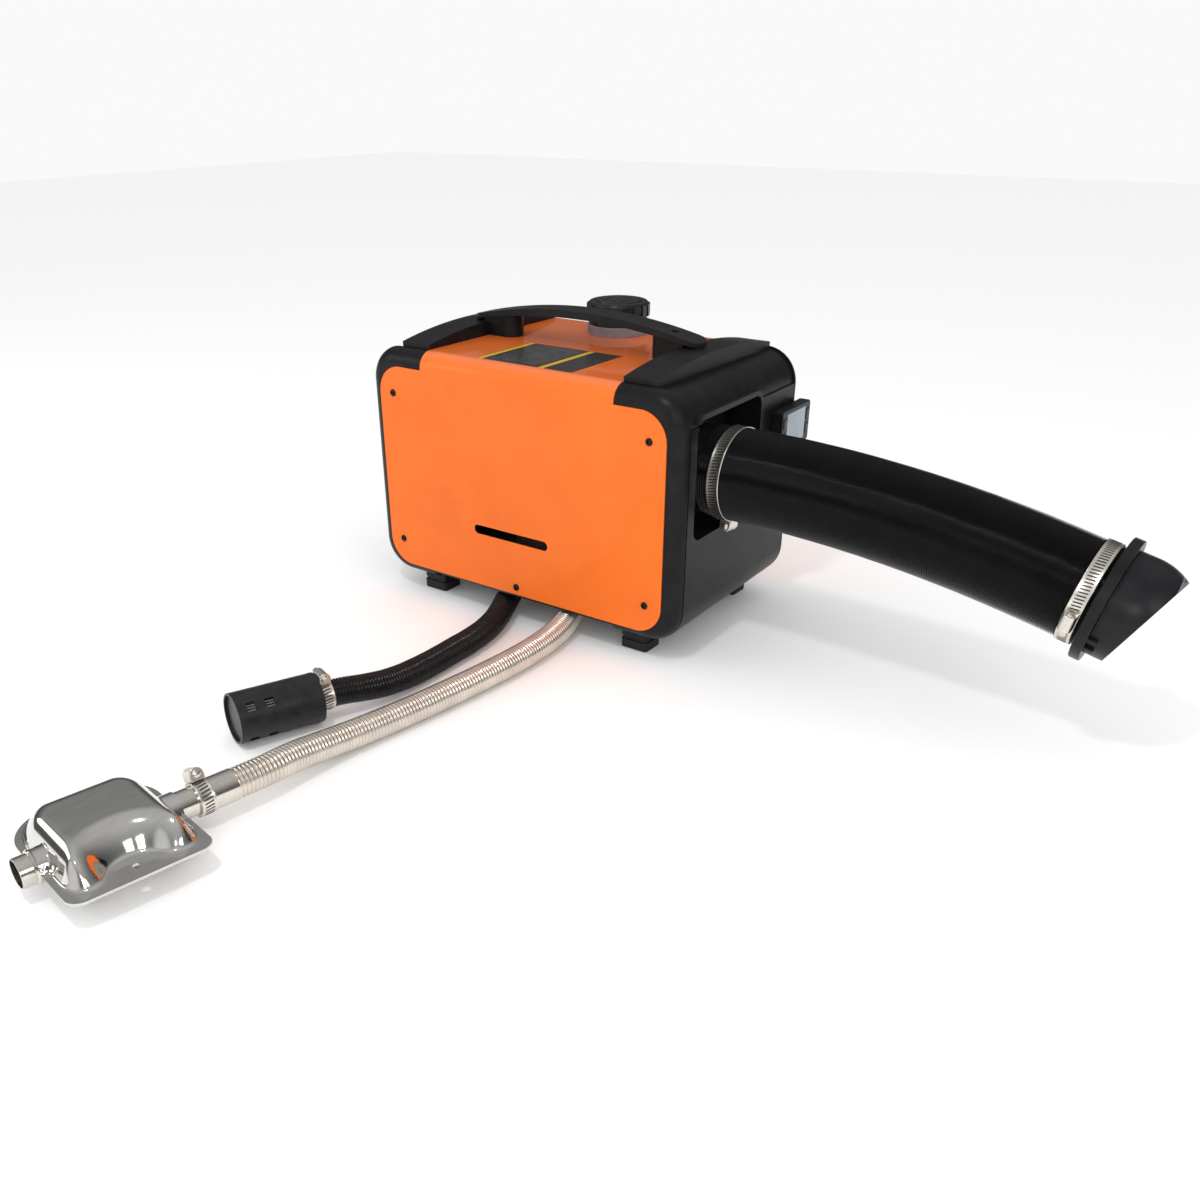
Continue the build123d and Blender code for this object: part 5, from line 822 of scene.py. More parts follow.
# %% Case, handle, feet, controller and fittings, with each edge's width in millimetres
for node_name, finish, width, segments in (
    ("cover", orange_paint, 0.35, 2),
    ("end_moulding_left", moulding_black, 0.9, 3),
    ("end_moulding_right", moulding_black, 0.9, 3),
    ("carry_handle", handle_black, 1.2, 3),
    ("foot_front_left", foot_rubber, 0.6, 2),
    ("foot_front_right", foot_rubber, 0.6, 2),
    ("foot_back_left", foot_rubber, 0.6, 2),
    ("foot_back_right", foot_rubber, 0.6, 2),
    ("outlet_ring", handle_black, 0.8, 3),
    ("outlet_hood", hood_grey, 0.5, 2),
    ("neck_ring", neck_grey, 0.6, 2),
    ("controller_housing", handle_black, 0.3, 2),
    ("controller_bracket", handle_black, 0.3, 2),
    ("muffler_pipes", sleeve_steel, 0.2, 2),
    ("silencer_plate", silencer_black, 0.4, 2),
    ("inlet_grille", moulding_black, 0.3, 2),
    ("control_key_1", key_rubber, 1.4, 3),
    ("control_key_2", key_rubber, 1.4, 3),
    ("control_key_3", key_rubber, 1.4, 3),
    ("control_key_4", key_rubber, 1.4, 3),
    ("power_socket", handle_black, 0.3, 2),
    ("exhaust_sleeve", sleeve_steel, 0.2, 2),
    ("tray", black_sheet, 0.3, 2),
):
    dressed(node_name, finish, width, segments)

# %% [markdown]
# The silencer's can is a copy too, but the photograph shows its windows an eighth of a turn further round
# than the solid has them, so the copy is turned about its own axis. It is round, and it stays where the
# solid is.

# %% Silencer's can
SILENCER_MOUTH, SILENCER_HEADING, WINDOW_TURN = (-17, -394, 23.2), (-8.3, -23.0, 0.6), 45
silencer_place = axes_at(SILENCER_MOUTH, SILENCER_HEADING, (0, 0, 1))
can = dressed("silencer_can", silencer_black, 0.4)
can.data.transform(
    silencer_place @ Matrix.Rotation(math.radians(WINDOW_TURN), 4, "Z") @ silencer_place.inverted())

# %% [markdown]
# ## Things repeated round an axis
#
# Slots in a clamp's band, ribs on a cap and clips on a ring are one small form repeated round an axis. One
# tree makes them all: a line of points is bent into an arc, each point gets a copy of the form, turned to
# face outwards and slanted by a named angle, and the copies become real before they get their finish.

# %% The tree that repeats a form round an axis
def copies_of_form(tree, given, points, rotation):
    """A copy of the tree's Form on each point, turned by that rotation."""
    form = add_node(tree, "GeometryNodeObjectInfo", transform_space="ORIGINAL")
    tree.links.new(given["Form"], form.inputs["Object"])
    copies = add_node(tree, "GeometryNodeInstanceOnPoints")
    tree.links.new(points, copies.inputs["Points"])
    tree.links.new(form.outputs["Geometry"], copies.inputs["Instance"])
    tree.links.new(rotation, copies.inputs["Rotation"])
    return copies.outputs["Instances"]


def around_tree():
    """Copies of an object, evenly spread over an arc about Z."""
    tree, given = new_tree(
        "around_axis", ("Radius", "Start", "Sweep", "Slant"),
        (("Count", "NodeSocketInt"), ("Form", "NodeSocketObject"), ("Finish", "NodeSocketMaterial")),
    )
    link = tree.links.new

    def step(operation, a, b=None):
        return arithmetic(tree, operation, a, b)

    line = add_node(tree, "GeometryNodeMeshLine")
    link(given["Count"], line.inputs["Count"])
    steps = step("MAXIMUM", step("SUBTRACT", given["Count"], 1.0), 1.0)
    share = step("DIVIDE", add_node(tree, "GeometryNodeInputIndex").outputs[0], steps)
    angle = step("ADD", given["Start"], step("MULTIPLY", share, given["Sweep"]))
    spot = add_node(tree, "ShaderNodeCombineXYZ")
    link(step("MULTIPLY", given["Radius"], step("COSINE", angle)), spot.inputs["X"])
    link(step("MULTIPLY", given["Radius"], step("SINE", angle)), spot.inputs["Y"])
    bent = add_node(tree, "GeometryNodeSetPosition")
    link(line.outputs["Mesh"], bent.inputs["Geometry"])
    link(spot.outputs[0], bent.inputs["Position"])
    facing = add_node(tree, "ShaderNodeCombineXYZ")
    link(given["Slant"], facing.inputs["X"])
    link(angle, facing.inputs["Z"])
    return end_tree(tree, given, copies_of_form(tree, given, bent.outputs["Geometry"], facing.outputs[0]))


around_axis = around_tree()


def around(name, placement, form, finish, count, radius, start=0.0, sweep=None, slant=0.0, height=0.0):
    """A form repeated round a placement's Z. Radius and height in millimetres, angles in degrees."""
    if sweep is None:
        sweep = 360.0 * (count - 1) / count
    holder = place(bpy.data.objects.new(name, bpy.data.meshes.new(name)))
    piece = run_tree(
        holder, around_axis, Radius=radius * MM, Start=math.radians(start), Sweep=math.radians(sweep),
        Slant=math.radians(slant), Count=count, Form=form, Finish=finish,
    )
    piece.data.transform(placement @ Matrix.Translation((0, 0, height * MM)))
    return piece


# %% [markdown]
# ## Worm-drive clamps
#
# Each clamp is a thin band with rolled edges, pressed with slanting slots that the worm bites into. The
# worm runs across the band in an arched housing, and ends in a hexagon head with a shallow recess. All four
# share one recipe, because on the real object they differ only in size and in how far round their housing
# is turned.

# %% The clamps, sizes in millimetres
BAND_THICKNESS, BAND_WIDTH, BAND_GAP = 0.9, 13.0, 0.15
WORM_REACH, WORM_LENGTH = 5.0, 16.0
HOUSING_HALF_WIDTH, HOUSING_SHOULDER, HOUSING_SUNK, HOUSING_STEPS = 5.8, 4.5, 0.5, 12
SLOT_PITCH, SLOT_SLANT, SLOT_SUNK, SLOT_MARGIN = 2.9, 9.0, 0.2, 2.0
LARGE_TUBE = 30
slot_form = pill("slot_form", 0.16, 1.15, 8.0)


def clamp_arch(name, outer):
    """The worm's arched housing, standing on the band at angle 0, open nowhere."""
    foot, shoulder = outer - HOUSING_SUNK, outer + HOUSING_SHOULDER
    section = [(-HOUSING_HALF_WIDTH, foot), (-HOUSING_HALF_WIDTH, shoulder)]
    for i in range(1, HOUSING_STEPS):
        turn = math.pi - math.pi * i / HOUSING_STEPS
        section.append((HOUSING_HALF_WIDTH * math.cos(turn), shoulder + HOUSING_HALF_WIDTH * math.sin(turn)))
    section += [(HOUSING_HALF_WIDTH, shoulder), (HOUSING_HALF_WIDTH, foot)]
    work = bmesh.new()
    near, far = (
        [work.verts.new((r * MM, reach * MM, w * MM)) for w, r in section]
        for reach in (-WORM_LENGTH / 2, WORM_LENGTH / 2)
    )
    work.faces.new(near)
    work.faces.new(far[::-1])
    joined(work, near, far)
    return softened(place(as_object(name, faced(work))), 0.6, angle=35)


def worm_clamp(name, placement, tube_radius, turn, band_node, *worm_nodes):
    """A whole clamp on a placement's Z, with its housing at that turn in degrees."""
    inner = tube_radius + BAND_GAP
    outer = inner + BAND_THICKNESS
    half = BAND_WIDTH / 2
    band = turned(name + "_band", [
        (inner, -half), (outer - 0.3, -half), (outer - 0.05, -half + 0.25), (outer, -half + 0.7),
        (outer - 0.2, -half + 1.3), (outer - 0.22, half - 1.3), (outer, half - 0.7),
        (outer - 0.05, half - 0.25), (outer - 0.3, half), (inner, half),
    ], Matrix(), sides=128 if tube_radius > LARGE_TUBE else 64, closed=True)
    whole = united(name + "_band", band, clamp_arch(name + "_arch", outer))
    turning = placement @ Matrix.Rotation(math.radians(turn), 4, "Z")
    whole.data.transform(turning)
    settle(whole, clamp_steel, band_node, band_node)

    house_angle = math.degrees(WORM_LENGTH / 2 / outer) + SLOT_MARGIN
    free_angle = 360 - 2 * house_angle
    # Each slot is a dark pill on the band, coloured as the painted shade inside the slot.
    slots = around(
        name + "_slots", turning, slot_form, slot_dark, int(math.radians(free_angle) * outer / SLOT_PITCH),
        outer - SLOT_SUNK, start=house_angle, sweep=free_angle, slant=SLOT_SLANT,
    )
    settle(slots, slot_dark, band_node)

    middle = Matrix.Translation(((outer + WORM_REACH) * MM, 0, 0))
    across = turning @ middle @ Matrix.Rotation(math.radians(-90), 4, "X")
    far = WORM_LENGTH / 2
    collar = turned(name + "_collar", [
        (0, -far - 0.9), (2.6, -far - 0.9), (3.2, -far - 0.4), (3.2, -far + 0.5), (4.6, far - 0.5),
        (4.7, far + 0.5), (4.4, far + 0.9), (0, far + 0.9),
    ], across, sides=32)
    head = turned(name + "_head", [
        (0, far + 0.5), (4.0, far + 0.5), (4.0, far + 4.3), (3.5, far + 4.9), (2.3, far + 4.9),
        (2.1, far + 3.9), (0, far + 3.9),
    ], across, sides=6)
    settle(united(name + "_worm", collar, head), clamp_steel, band_node, *worm_nodes)


# %% One clamp at each end of the duct, one on the exhaust hose and one on the silencer
NEAR_CLAMP_X, FAR_CLAMP_BACK, DUCT_CLAMP_RADIUS, NEAR_CLAMP_TURN, FAR_CLAMP_TURN = 202, 10, 44.5, 262, 191
EXHAUST_CLAMP_MIDDLE, EXHAUST_CLAMP_RADIUS, EXHAUST_CLAMP_TURN = (34.39, -562.06, 24), 13.6, 25
INTAKE_CLAMP_BACK, INTAKE_CLAMP_RADIUS = 6.65, 13.2
MUFFLER_HEADING = math.radians(190.3)
muffler_flow = Vector((math.sin(MUFFLER_HEADING), math.cos(MUFFLER_HEADING), 0))
worm_clamp(
    "near_drive", axes_at((NEAR_CLAMP_X, CORE_Y, CORE_Z), (1, 0, 0), (0, 1, 0)), DUCT_CLAMP_RADIUS,
    NEAR_CLAMP_TURN, "near_clamp_band", "near_clamp_worm")
worm_clamp(
    "far_drive", axes_at(DUCT_END - FAR_CLAMP_BACK * DUCT_AXIS, DUCT_AXIS, (0, 1, 0)), DUCT_CLAMP_RADIUS,
    FAR_CLAMP_TURN, "far_clamp_band", "far_clamp_worm")
worm_clamp(
    "exhaust_clamp", axes_at(EXHAUST_CLAMP_MIDDLE, muffler_flow, (0, 0, 1)), EXHAUST_CLAMP_RADIUS,
    EXHAUST_CLAMP_TURN, "exhaust_clamp")
worm_clamp(
    "intake_clamp", silencer_place @ Matrix.Translation((0, 0, -INTAKE_CLAMP_BACK * MM)), INTAKE_CLAMP_RADIUS,
    0, "intake_clamp")

# %% [markdown]
# ## Screws
#
# Ten domed screws hold the two aprons. A cloud of points says where each one is and which way it looks, and
# a tree puts the same screw on every point. The handle's two screws are sunk, and their solids are shown as
# they are.

# %% The tree that puts a form on given points
def on_points_tree():
    """A copy of an object on every point, turned by the point's own facing."""
    tree, given = new_tree("on_points", (), (("Form", "NodeSocketObject"), ("Finish", "NodeSocketMaterial")))
    facing = add_node(tree, "GeometryNodeInputNamedAttribute", data_type="FLOAT_VECTOR", Name="facing")
    return end_tree(tree, given, copies_of_form(tree, given, given["Geometry"], facing.outputs[0]))


on_points = on_points_tree()


def on_places(name, places, form, finish):
    """A form on each (place in millimetres, facing in degrees about X, Y and Z)."""
    mesh = bpy.data.meshes.new(name)
    mesh.from_pydata([tuple(Vector(spot) * MM) for spot, facing in places], [], [])
    turns = mesh.attributes.new("facing", "FLOAT_VECTOR", "POINT")
    for item, (spot, facing) in zip(turns.data, places):
        item.vector = [math.radians(v) for v in facing]
    return run_tree(place(bpy.data.objects.new(name, mesh)), on_points, Form=form, Finish=finish)


APRON_FACE_Y = 124.0
APRON_SCREWS = ((160, 224), (-160, 224), (160, 62), (-160, 62), (0, 42))
screw_form = turned("screw_form", [
    (0, 0.5), (1.25, 0.5), (1.5, 1.5), (1.75, 1.9), (2.5, 1.75), (3.3, 1.2), (3.75, 0.5), (3.8, 0), (0, -0.3),
], Matrix(), sides=24)
bpy.context.scene.collection.objects.unlink(screw_form)
cover_spots = [
    ((x, side * APRON_FACE_Y, z), (-90 * side, 0, 0)) for side in (-1, 1) for x, z in APRON_SCREWS
]
apron_screws = on_places("apron_screws", cover_spots, screw_form, screw_black)
settle(apron_screws, screw_black, "cover_screws", "cover_screws")
print("screws", len(cover_spots))

# %% [markdown]
# ## The filler cap
#
# The cap is a turned cup with a plain skirt, a thicker crown and a rounded edge. Eighteen broad ribs stand
# round the crown like battlements, and three crescents are raised on its disc. The ribs could be cut out of
# the cup, but a rib that is put on keeps clean edges without any cutting.

# %% Cap, sizes in millimetres
CAP_FOOT = (-12, 78, 280.3)
CAP_RIBS, CAP_RIB_RADIUS, CAP_RIB_HEIGHT = 18, 32.9, 14.6
cap_place = axes_at(CAP_FOOT, (0, 0, 1), (1, 0, 0))
cap_cup = turned("cap_cup", [
    (0, 24.3), (20.5, 24.3), (21.4, 24.7), (23.4, 24.7), (24.4, 24.2), (24.9, 22.9), (26.3, 22.9),
    (27.0, 23.6), (29.0, 23.7), (31.0, 23.0), (32.3, 21.6), (32.7, 19.6), (32.7, 9.4), (32.2, 8.8),
    (31.4, 8.4), (31.4, 1.2), (31.9, 0.7), (31.9, 0.0), (29.4, 0.0), (29.4, 19.7), (0, 19.7),
], cap_place, sides=96)
settle(cap_cup, cap_black, "filler_cap", "filler_cap")
rib_form = soft_form("rib_form", 2.4, 7.4, 12.6, round_share=0.35)
cap_ribs = around("cap_ribs", cap_place, rib_form, cap_black, CAP_RIBS, CAP_RIB_RADIUS, height=CAP_RIB_HEIGHT)
settle(cap_ribs, cap_black, "filler_cap")

# %% The three raised crescents
CRESCENTS, CRESCENT_INNER, CRESCENT_OUTER, CRESCENT_LOW, CRESCENT_HIGH = 3, 11.5, 17.0, 24.2, 24.75
CRESCENT_START, CRESCENT_SWEEP, CRESCENT_EDGE, CRESCENT_STEPS = 35, 78, 0.3, 20


def crescent(name, start):
    """A raised crescent between two arcs that nearly meet at its tips."""
    work = bmesh.new()
    rows = []
    middle = (CRESCENT_INNER + CRESCENT_OUTER) / 2
    for i in range(CRESCENT_STEPS + 1):
        turn = math.radians(start + CRESCENT_SWEEP * i / CRESCENT_STEPS)
        swell = math.sin(math.pi * (0.04 + 0.92 * i / CRESCENT_STEPS))
        near = middle - (middle - CRESCENT_INNER) * swell
        far = middle + (CRESCENT_OUTER - middle) * swell
        rows.append([on_circle(work, radius, turn, height) for radius, height in (
            (near, CRESCENT_LOW), (near + CRESCENT_EDGE, CRESCENT_HIGH), (far - CRESCENT_EDGE, CRESCENT_HIGH),
            (far, CRESCENT_LOW),
        )])
    strip_of(work, rows)
    work.faces.new(rows[0])
    work.faces.new(rows[-1][::-1])
    return place(as_object(name, faced(work, cap_place)))


crescents = [crescent(f"crescent_{k}", 360 / CRESCENTS * k + CRESCENT_START) for k in range(CRESCENTS)]
settle(united("cap_crescents", *crescents), cap_black, "filler_cap")

# %% [markdown]
# ## The pressed muffler
#
# The muffler's halves are pressed from thin sheet: a deep pillow with soft shoulders, scalloped on the near
# side to clear the screw hole, and a flat flange round it that lifts over the pipes. The height at a place
# depends only on its distance from the pillow's outline, so the sheet is one net of points from the
# flange's edge to the middle.

# %% The pillow's height, in millimetres from the muffler's middle
MUFFLER_SHIFT, SHEET = 4.0, 1.0
FLANGE_HALF_LENGTH, FLANGE_HALF_WIDTH, FLANGE_ROUNDS = 55.0, 66.0, (38, 12)
PILLOW_HALF_LENGTH, PILLOW_NEAR, PILLOW_FAR, PILLOW_ROUNDS = 49.0, 55.0, -58.0, (36, 20)
PILLOW_RISE, SHOULDER, SHOULDER_CURVE, STEEPER_ENDS = 23.0, 26.0, 2.3, 1.45
SCALLOP_X, SCALLOP_Y, SCALLOP_RADIUS, SCALLOP_BLEND, EDGE_EASE = 5.0, 62.0, 27.0, 9.0, 1.2
PIPE_RISE, PIPE_HALF_WIDTH, PIPE_CURVE = 12.2, 14.0, 0.55


def rounded_inside(x, y, low, high, half, low_round, high_round):
    """How far a place lies inside a rounded rectangle between two Y values."""
    middle = (low + high) / 2
    corner = high_round if y > middle else low_round
    out_x = abs(x) - (half - corner)
    out_y = abs(y - middle) - ((high - low) / 2 - corner)
    outside = math.hypot(max(out_x, 0), max(out_y, 0)) + min(max(out_x, out_y), 0)
    return corner - outside


def soft_least(a, b, blend):
    """The lesser of two numbers, eased where they are close."""
    share = max(0.0, min(1.0, 0.5 + 0.5 * (b - a) / blend))
    return b + (a - b) * share - blend * share * (1 - share)


def pillow_height(x, y):
    """The pressed sheet's height above its own flange, in millimetres."""
    stretched = STEEPER_ENDS * (x - MUFFLER_SHIFT)
    inside = rounded_inside(
        stretched, y, PILLOW_FAR, PILLOW_NEAR, STEEPER_ENDS * PILLOW_HALF_LENGTH, *PILLOW_ROUNDS)
    clear = math.hypot(x - SCALLOP_X, y - SCALLOP_Y) - SCALLOP_RADIUS
    depth = soft_least(inside, clear, SCALLOP_BLEND)
    eased = (depth + math.sqrt(depth * depth + EDGE_EASE)) / 2
    share = min(1.0, eased / SHOULDER)
    height = (PILLOW_RISE - SHEET) * (1 - (1 - share) ** SHOULDER_CURVE)
    over_pipe = PIPE_RISE * max(0.0, 1 - (y / PIPE_HALF_WIDTH) ** 2) ** PIPE_CURVE
    return max(height, over_pipe)


# %% The net of a half, its screw hole and its place
MUFFLER_MIDDLE = (21.5, -633, 24)
NET_RINGS, NET_SPOKES, NET_REACH = 86, 320, 120.0
HOLE_MIDDLE, HOLE_RADIUS, HOLE_CLEARED, HOLE_NEIGHBOURS = Vector((5.0 * MM, 51.0 * MM)), 3.3, 3.0, 9
muffler_place = axes_at(MUFFLER_MIDDLE, (0, 0, 1), muffler_flow)


def flange_edge(turn):
    """The flange's outline at that angle about its middle, found by halving the range it lies in."""
    low, high = 0.0, NET_REACH
    for step in range(40):
        reach = (low + high) / 2
        x, y = reach * math.cos(turn), reach * math.sin(turn)
        inside = rounded_inside(
            x, y, -FLANGE_HALF_WIDTH, FLANGE_HALF_WIDTH, FLANGE_HALF_LENGTH, *FLANGE_ROUNDS)
        if inside > 0:
            low = reach
        else:
            high = reach
    return low * math.cos(turn) + MUFFLER_SHIFT, low * math.sin(turn)


def open_edges(work):
    return [edge for edge in work.edges if edge.is_boundary]


def from_hole(vertex):
    """The way from the screw hole's middle to a vertex, along the sheet."""
    return vertex.co.xy - HOLE_MIDDLE


def pierced(work):
    """Cuts the screw hole through both sheets, rounds it and joins the two edges."""
    gone = [vertex for vertex in work.verts if from_hole(vertex).length < HOLE_CLEARED * MM]
    bmesh.ops.delete(work, geom=gone, context="VERTS")
    for edge in open_edges(work):
        for vertex in edge.verts:
            away = from_hole(vertex)
            if away.length < HOLE_NEIGHBOURS * MM:
                vertex.co.xy = HOLE_MIDDLE + away.normalized() * HOLE_RADIUS * MM
    bmesh.ops.bridge_loops(work, edges=open_edges(work))


def pressed_half(name, side):
    """One half as a thin shell: an outer net, an inner net one sheet below, and a rim that joins them."""
    outline = [flange_edge(2 * math.pi * i / NET_SPOKES) for i in range(NET_SPOKES)]
    work = bmesh.new()

    def net_point(share, x, y, lift):
        x, y = MUFFLER_SHIFT + (x - MUFFLER_SHIFT) * share, y * share
        return work.verts.new((x * MM, y * MM, side * (pillow_height(x, y) + lift) * MM))

    nets = []
    for lift in (SHEET, 0.0):
        net = [
            [net_point(ring / NET_RINGS, x, y, lift) for x, y in outline] for ring in range(NET_RINGS, 0, -1)
        ]
        nets.append((net, net_point(1.0, MUFFLER_SHIFT, 0, lift)))
    for net, centre in nets:
        for a, b in zip(net, net[1:]):
            joined(work, a, b)
        for i in range(NET_SPOKES):
            work.faces.new((net[-1][i], net[-1][(i + 1) % NET_SPOKES], centre))
    joined(work, nets[0][0][0], nets[1][0][0])
    pierced(work)
    return place(as_object(name, faced(work, muffler_place), sharp=50))


settle(pressed_half("muffler_top_shell", 1), muffler_steel, "muffler_upper", "muffler_upper")
settle(pressed_half("muffler_bottom_shell", -1), muffler_steel, "muffler_lower", "muffler_lower")
bead = turned("pipe_bead", [
    (12.0, 57.0), (13.4, 57.6), (14.0, 59.0), (13.4, 60.4), (12.0, 61.0),
], axes_at(MUFFLER_MIDDLE, muffler_flow, (0, 0, 1)), closed=True)
settle(bead, sleeve_steel, "muffler_pipes")

# %% [markdown]
# ## The silencer's rings and mesh
#
# A collar and three fine rings run round the can. A wire mesh lies behind the four windows: bars along the
# can and hoops round it. Real wires weave over and under each other; at this size crossed wires look the
# same.

# %% Silencer details, sizes in millimetres
RING_HEIGHTS, RING_INNER, RING_OUTER = (13.0, 19.0, 25.0), 22.6, 23.15
WIRE_BARS, BAR_RADIUS, BAR_MIDDLE = 54, 20.3, 57.0
HOOPS, HOOP_START, HOOP_PITCH, HOOP_RADIUS, WIRE_HALF = 13, 42.5, 2.4, 20.5, 0.3
rings = [turned("collar_ring", [
    (RING_INNER, -0.1), (RING_OUTER, 0.15), (RING_OUTER, 3.6), (RING_INNER, 3.9),
], silencer_place, closed=True)]
for height in RING_HEIGHTS:
    rings.append(turned(f"ring_{height:.0f}", [
        (RING_INNER, height - 0.9), (RING_OUTER, height - 0.4), (RING_OUTER, height + 0.4),
        (RING_INNER, height + 0.9),
    ], silencer_place, closed=True))
settle(united("silencer_rings", *rings), silencer_black, "silencer_can")
wire_form = pill("wire_form", 0.5, 0.5, 30.0)
wires = [
    around("mesh_bars", silencer_place, wire_form, inner_steel, WIRE_BARS, BAR_RADIUS, height=BAR_MIDDLE),
]
for k in range(HOOPS):
    height = HOOP_START + HOOP_PITCH * k
    wires.append(turned(f"wire_{k}", [
        (HOOP_RADIUS, height - WIRE_HALF), (HOOP_RADIUS + WIRE_HALF, height),
        (HOOP_RADIUS, height + WIRE_HALF), (HOOP_RADIUS - WIRE_HALF, height),
    ], silencer_place, sides=54, closed=True))
settle(united("silencer_mesh", *wires), inner_steel, "silencer_can")

# %% [markdown]
# ## The ring's clips and the painted highlight on the hood's rim
#
# Two clips on the ring hold the hood, low on the near side. The hood is cut by a slanting plane, and a pale
# crescent is painted along the far rim of the cut as the highlight that the rim catches; a fine seam runs
# along its near side. Both follow the hood's own curve, so a function gives its radius at each height, and
# another finds where the plane cuts it.

# %% Clips
ring_place = axes_at(DUCT_END, DUCT_AXIS, (0, 1, 0))
clip_form = soft_form("clip_form", 3.4, 5.0, 8.4, round_share=0.3)
clips = around("ring_clips", ring_place, clip_form, handle_black, 2, 47.6, start=203, sweep=14, height=12.6)
settle(clips, handle_black, "outlet_ring")

# %% The hood's curve and its mouth, in millimetres
HOOD_RADIUS, HOOD_START, HOOD_STRAIGHT, HOOD_LENGTH, MOUTH_REACH = 46.0, 9.6, 14.0, 66.0, 38.0
MOUTH_NORMAL = (0.858, -0.090, -0.507)
mouth_local = ring_place.to_3x3().transposed() @ Vector(MOUTH_NORMAL).normalized()
hood_bend = ((HOOD_LENGTH - HOOD_STRAIGHT) ** 2 + HOOD_RADIUS ** 2) / (2 * HOOD_RADIUS)


def hood_radius(height):
    """The hood's outer radius at that height above the ring's face."""
    past = max(0.0, height - HOOD_START - HOOD_STRAIGHT)
    return math.sqrt(max(0.0, hood_bend ** 2 - past ** 2)) - (hood_bend - HOOD_RADIUS)


def mouth_height(turn):
    """Where the mouth's plane cuts the hood at that angle."""
    low, high = 0.0, HOOD_START + HOOD_LENGTH
    for step in range(50):
        height = (low + high) / 2
        radius = hood_radius(height)
        spot = Vector((radius * math.cos(turn), radius * math.sin(turn), height))
        if spot.dot(mouth_local) < MOUTH_REACH:
            low = height
        else:
            high = height
    return low


print("mouth heights in mm", [round(mouth_height(math.radians(turn)), 1) for turn in (90, 270)])

# %% The rim's painted highlight and the seam
RIM_START, RIM_END, RIM_NEAR, RIM_FAR, RIM_LIFT, RIM_SUNK, RIM_STEPS = 8, 118, 0.3, 6.0, 0.06, -0.3, 40
SEAM_TURN, SEAM_START, SEAM_END_GAP, SEAM_STEPS = 203, 30.0, 1.0, 24
SEAM_SECTION = ((-0.5, -0.2), (0, 0.45), (0.5, -0.2))


def hood_rim():
    """A thin strip on the hood's skin, broad in its middle, that follows the mouth's edge: a painted
    highlight.
    """
    work = bmesh.new()
    rows = []
    for i in range(RIM_STEPS + 1):
        turn = math.radians(RIM_START + (RIM_END - RIM_START) * i / RIM_STEPS)
        edge = mouth_height(turn)
        reach = RIM_FAR * math.sin(math.pi * i / RIM_STEPS)
        rows.append([on_circle(work, hood_radius(edge - gap) + raised, turn, edge - gap) for gap, raised in (
            (RIM_NEAR, RIM_SUNK), (RIM_NEAR, RIM_LIFT), (reach, RIM_LIFT), (reach, RIM_SUNK),
        )])
    strip_of(work, rows)
    bmesh.ops.remove_doubles(work, verts=work.verts, dist=SAME_PLACE)
    return place(as_object("hood_rim", faced(work, ring_place)))


def hood_seam():
    """A fine ridge along the hood, from near the ring to the mouth."""
    work = bmesh.new()
    rows = []
    turn = math.radians(SEAM_TURN)
    length = mouth_height(turn) - SEAM_START - SEAM_END_GAP
    for i in range(SEAM_STEPS + 1):
        height = SEAM_START + length * i / SEAM_STEPS
        rows.append([
            on_circle(work, hood_radius(height) + raised, turn + spread / HOOD_RADIUS, height)
            for spread, raised in SEAM_SECTION
        ])
    strip_of(work, rows)
    return place(as_object("hood_seam", faced(work, ring_place)))


# The rim strip is pale grey: a painted highlight where the rim catches the light.
settle(hood_rim(), rim_grey, "outlet_hood")
settle(hood_seam(), hood_grey, "outlet_hood")

# %% [markdown]

# %% [markdown]
# ## Floor and light
#
# The product stands on a plain pale floor under soft studio light: a small lamp above that draws short
# glints, and wider ones from the left, the right and the front. The world is white to the camera and even
# in its light, but a mirror sees it dark at the horizon, brighter overhead and bright in front, as in a
# studio with dark walls and one light screen; this gives steel and gloss their contrast.

# %% Floor
FLOOR_HALF = 6
FLOOR_CORNERS = ((-1, -1), (1, -1), (1, 1), (-1, 1))
floor_mesh = bpy.data.meshes.new("floor")
floor_mesh.from_pydata([(x * FLOOR_HALF, y * FLOOR_HALF, 0) for x, y in FLOOR_CORNERS], [], [(0, 1, 2, 3)])
floor = place(bpy.data.objects.new("floor", floor_mesh))
floor.data.materials.append(new_finish("floor_white", (0.95, 0.95, 0.95), 0.8, shine=0.2))

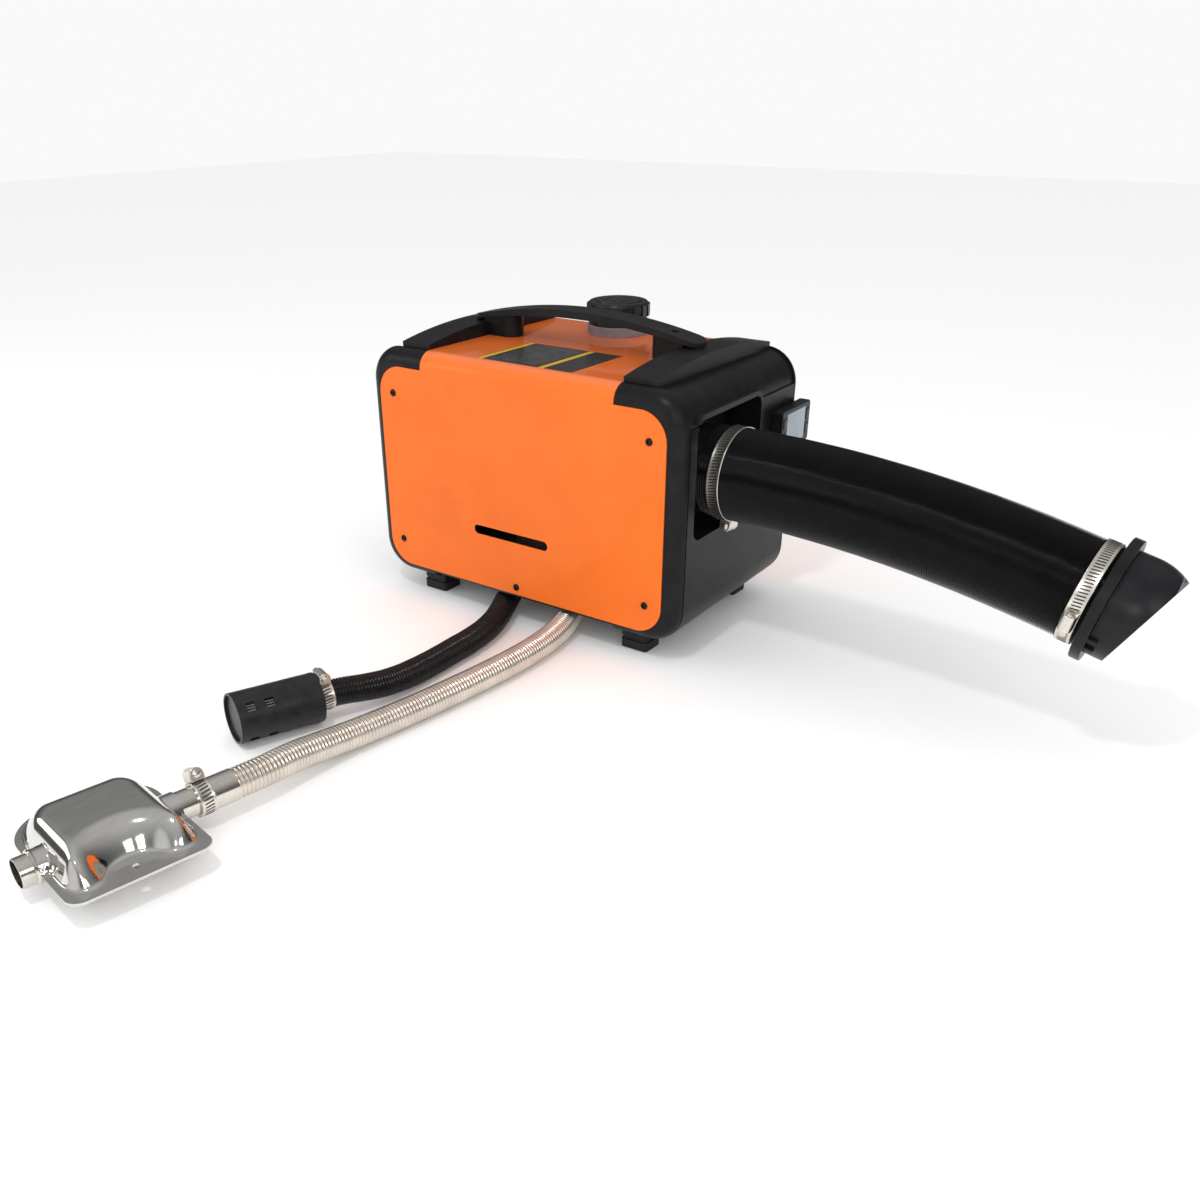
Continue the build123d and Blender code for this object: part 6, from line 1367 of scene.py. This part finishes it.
# %% World: what light, mirrors and the camera see of it
LIGHT_STRENGTH, SEEN_STRENGTH = 0.98, 0.95
SKY_HEIGHTS, SKY_STRENGTHS = (0.20, 0.95), (0.10, 0.55)
SCREEN_WAY, SCREEN_NEARNESS, SCREEN_STRENGTHS = (-0.25, -0.90, 0.36), (0.72, 0.97), (0.0, 0.75)
world = bpy.data.worlds.new("studio")
bpy.context.scene.world = world
world.use_nodes = True
sky = world.node_tree
background = sky.nodes["Background"]
background.inputs["Color"].default_value = (1, 1, 1, 1)

rays = add_node(sky, "ShaderNodeLightPath")
look = add_node(sky, "ShaderNodeTexCoord").outputs["Generated"]
look_parts = add_node(sky, "ShaderNodeSeparateXYZ")
sky.links.new(look, look_parts.inputs[0])
overhead = range_map(
    sky, look_parts.outputs["Z"], SKY_HEIGHTS, SKY_STRENGTHS, interpolation_type="SMOOTHSTEP")
nearness = arithmetic(sky, "DOT_PRODUCT", look, SCREEN_WAY, vector=True)
screen = range_map(sky, nearness, SCREEN_NEARNESS, SCREEN_STRENGTHS, interpolation_type="SMOOTHSTEP")
mirrored = arithmetic(sky, "MAXIMUM", overhead, screen)
lighting = range_map(sky, rays.outputs["Is Glossy Ray"], (0.0, 1.0), (LIGHT_STRENGTH, mirrored))
seen = range_map(sky, rays.outputs["Is Camera Ray"], (0.0, 1.0), (lighting, SEEN_STRENGTH))
sky.links.new(seen, background.inputs["Strength"])

# %% Lamps: place and target in metres, width in metres, power in watts
for name, spot, target, size, power in (
    ("top_lamp", (0.25, -0.95, 1.55), (0.2, -0.1, 0.15), 0.13, 5.0),
    ("left_lamp", (-1.6, -1.3, 0.9), (0.0, -0.3, 0.1), 0.8, 5.0),
    ("right_lamp", (1.9, -0.9, 1.0), (0.3, -0.1, 0.1), 0.7, 5.0),
    ("front_lamp", (0.95, -1.35, 0.75), (0.2, -0.1, 0.15), 0.35, 3.0),
):
    light = bpy.data.lights.new(name, "AREA")
    light.size = size
    light.energy = power
    lamp = place(bpy.data.objects.new(name, light))
    lamp.location = spot
    lamp.rotation_euler = (Vector(target) - Vector(spot)).to_track_quat("-Z", "Y").to_euler()
bpy.context.scene.view_settings.view_transform = "Standard"
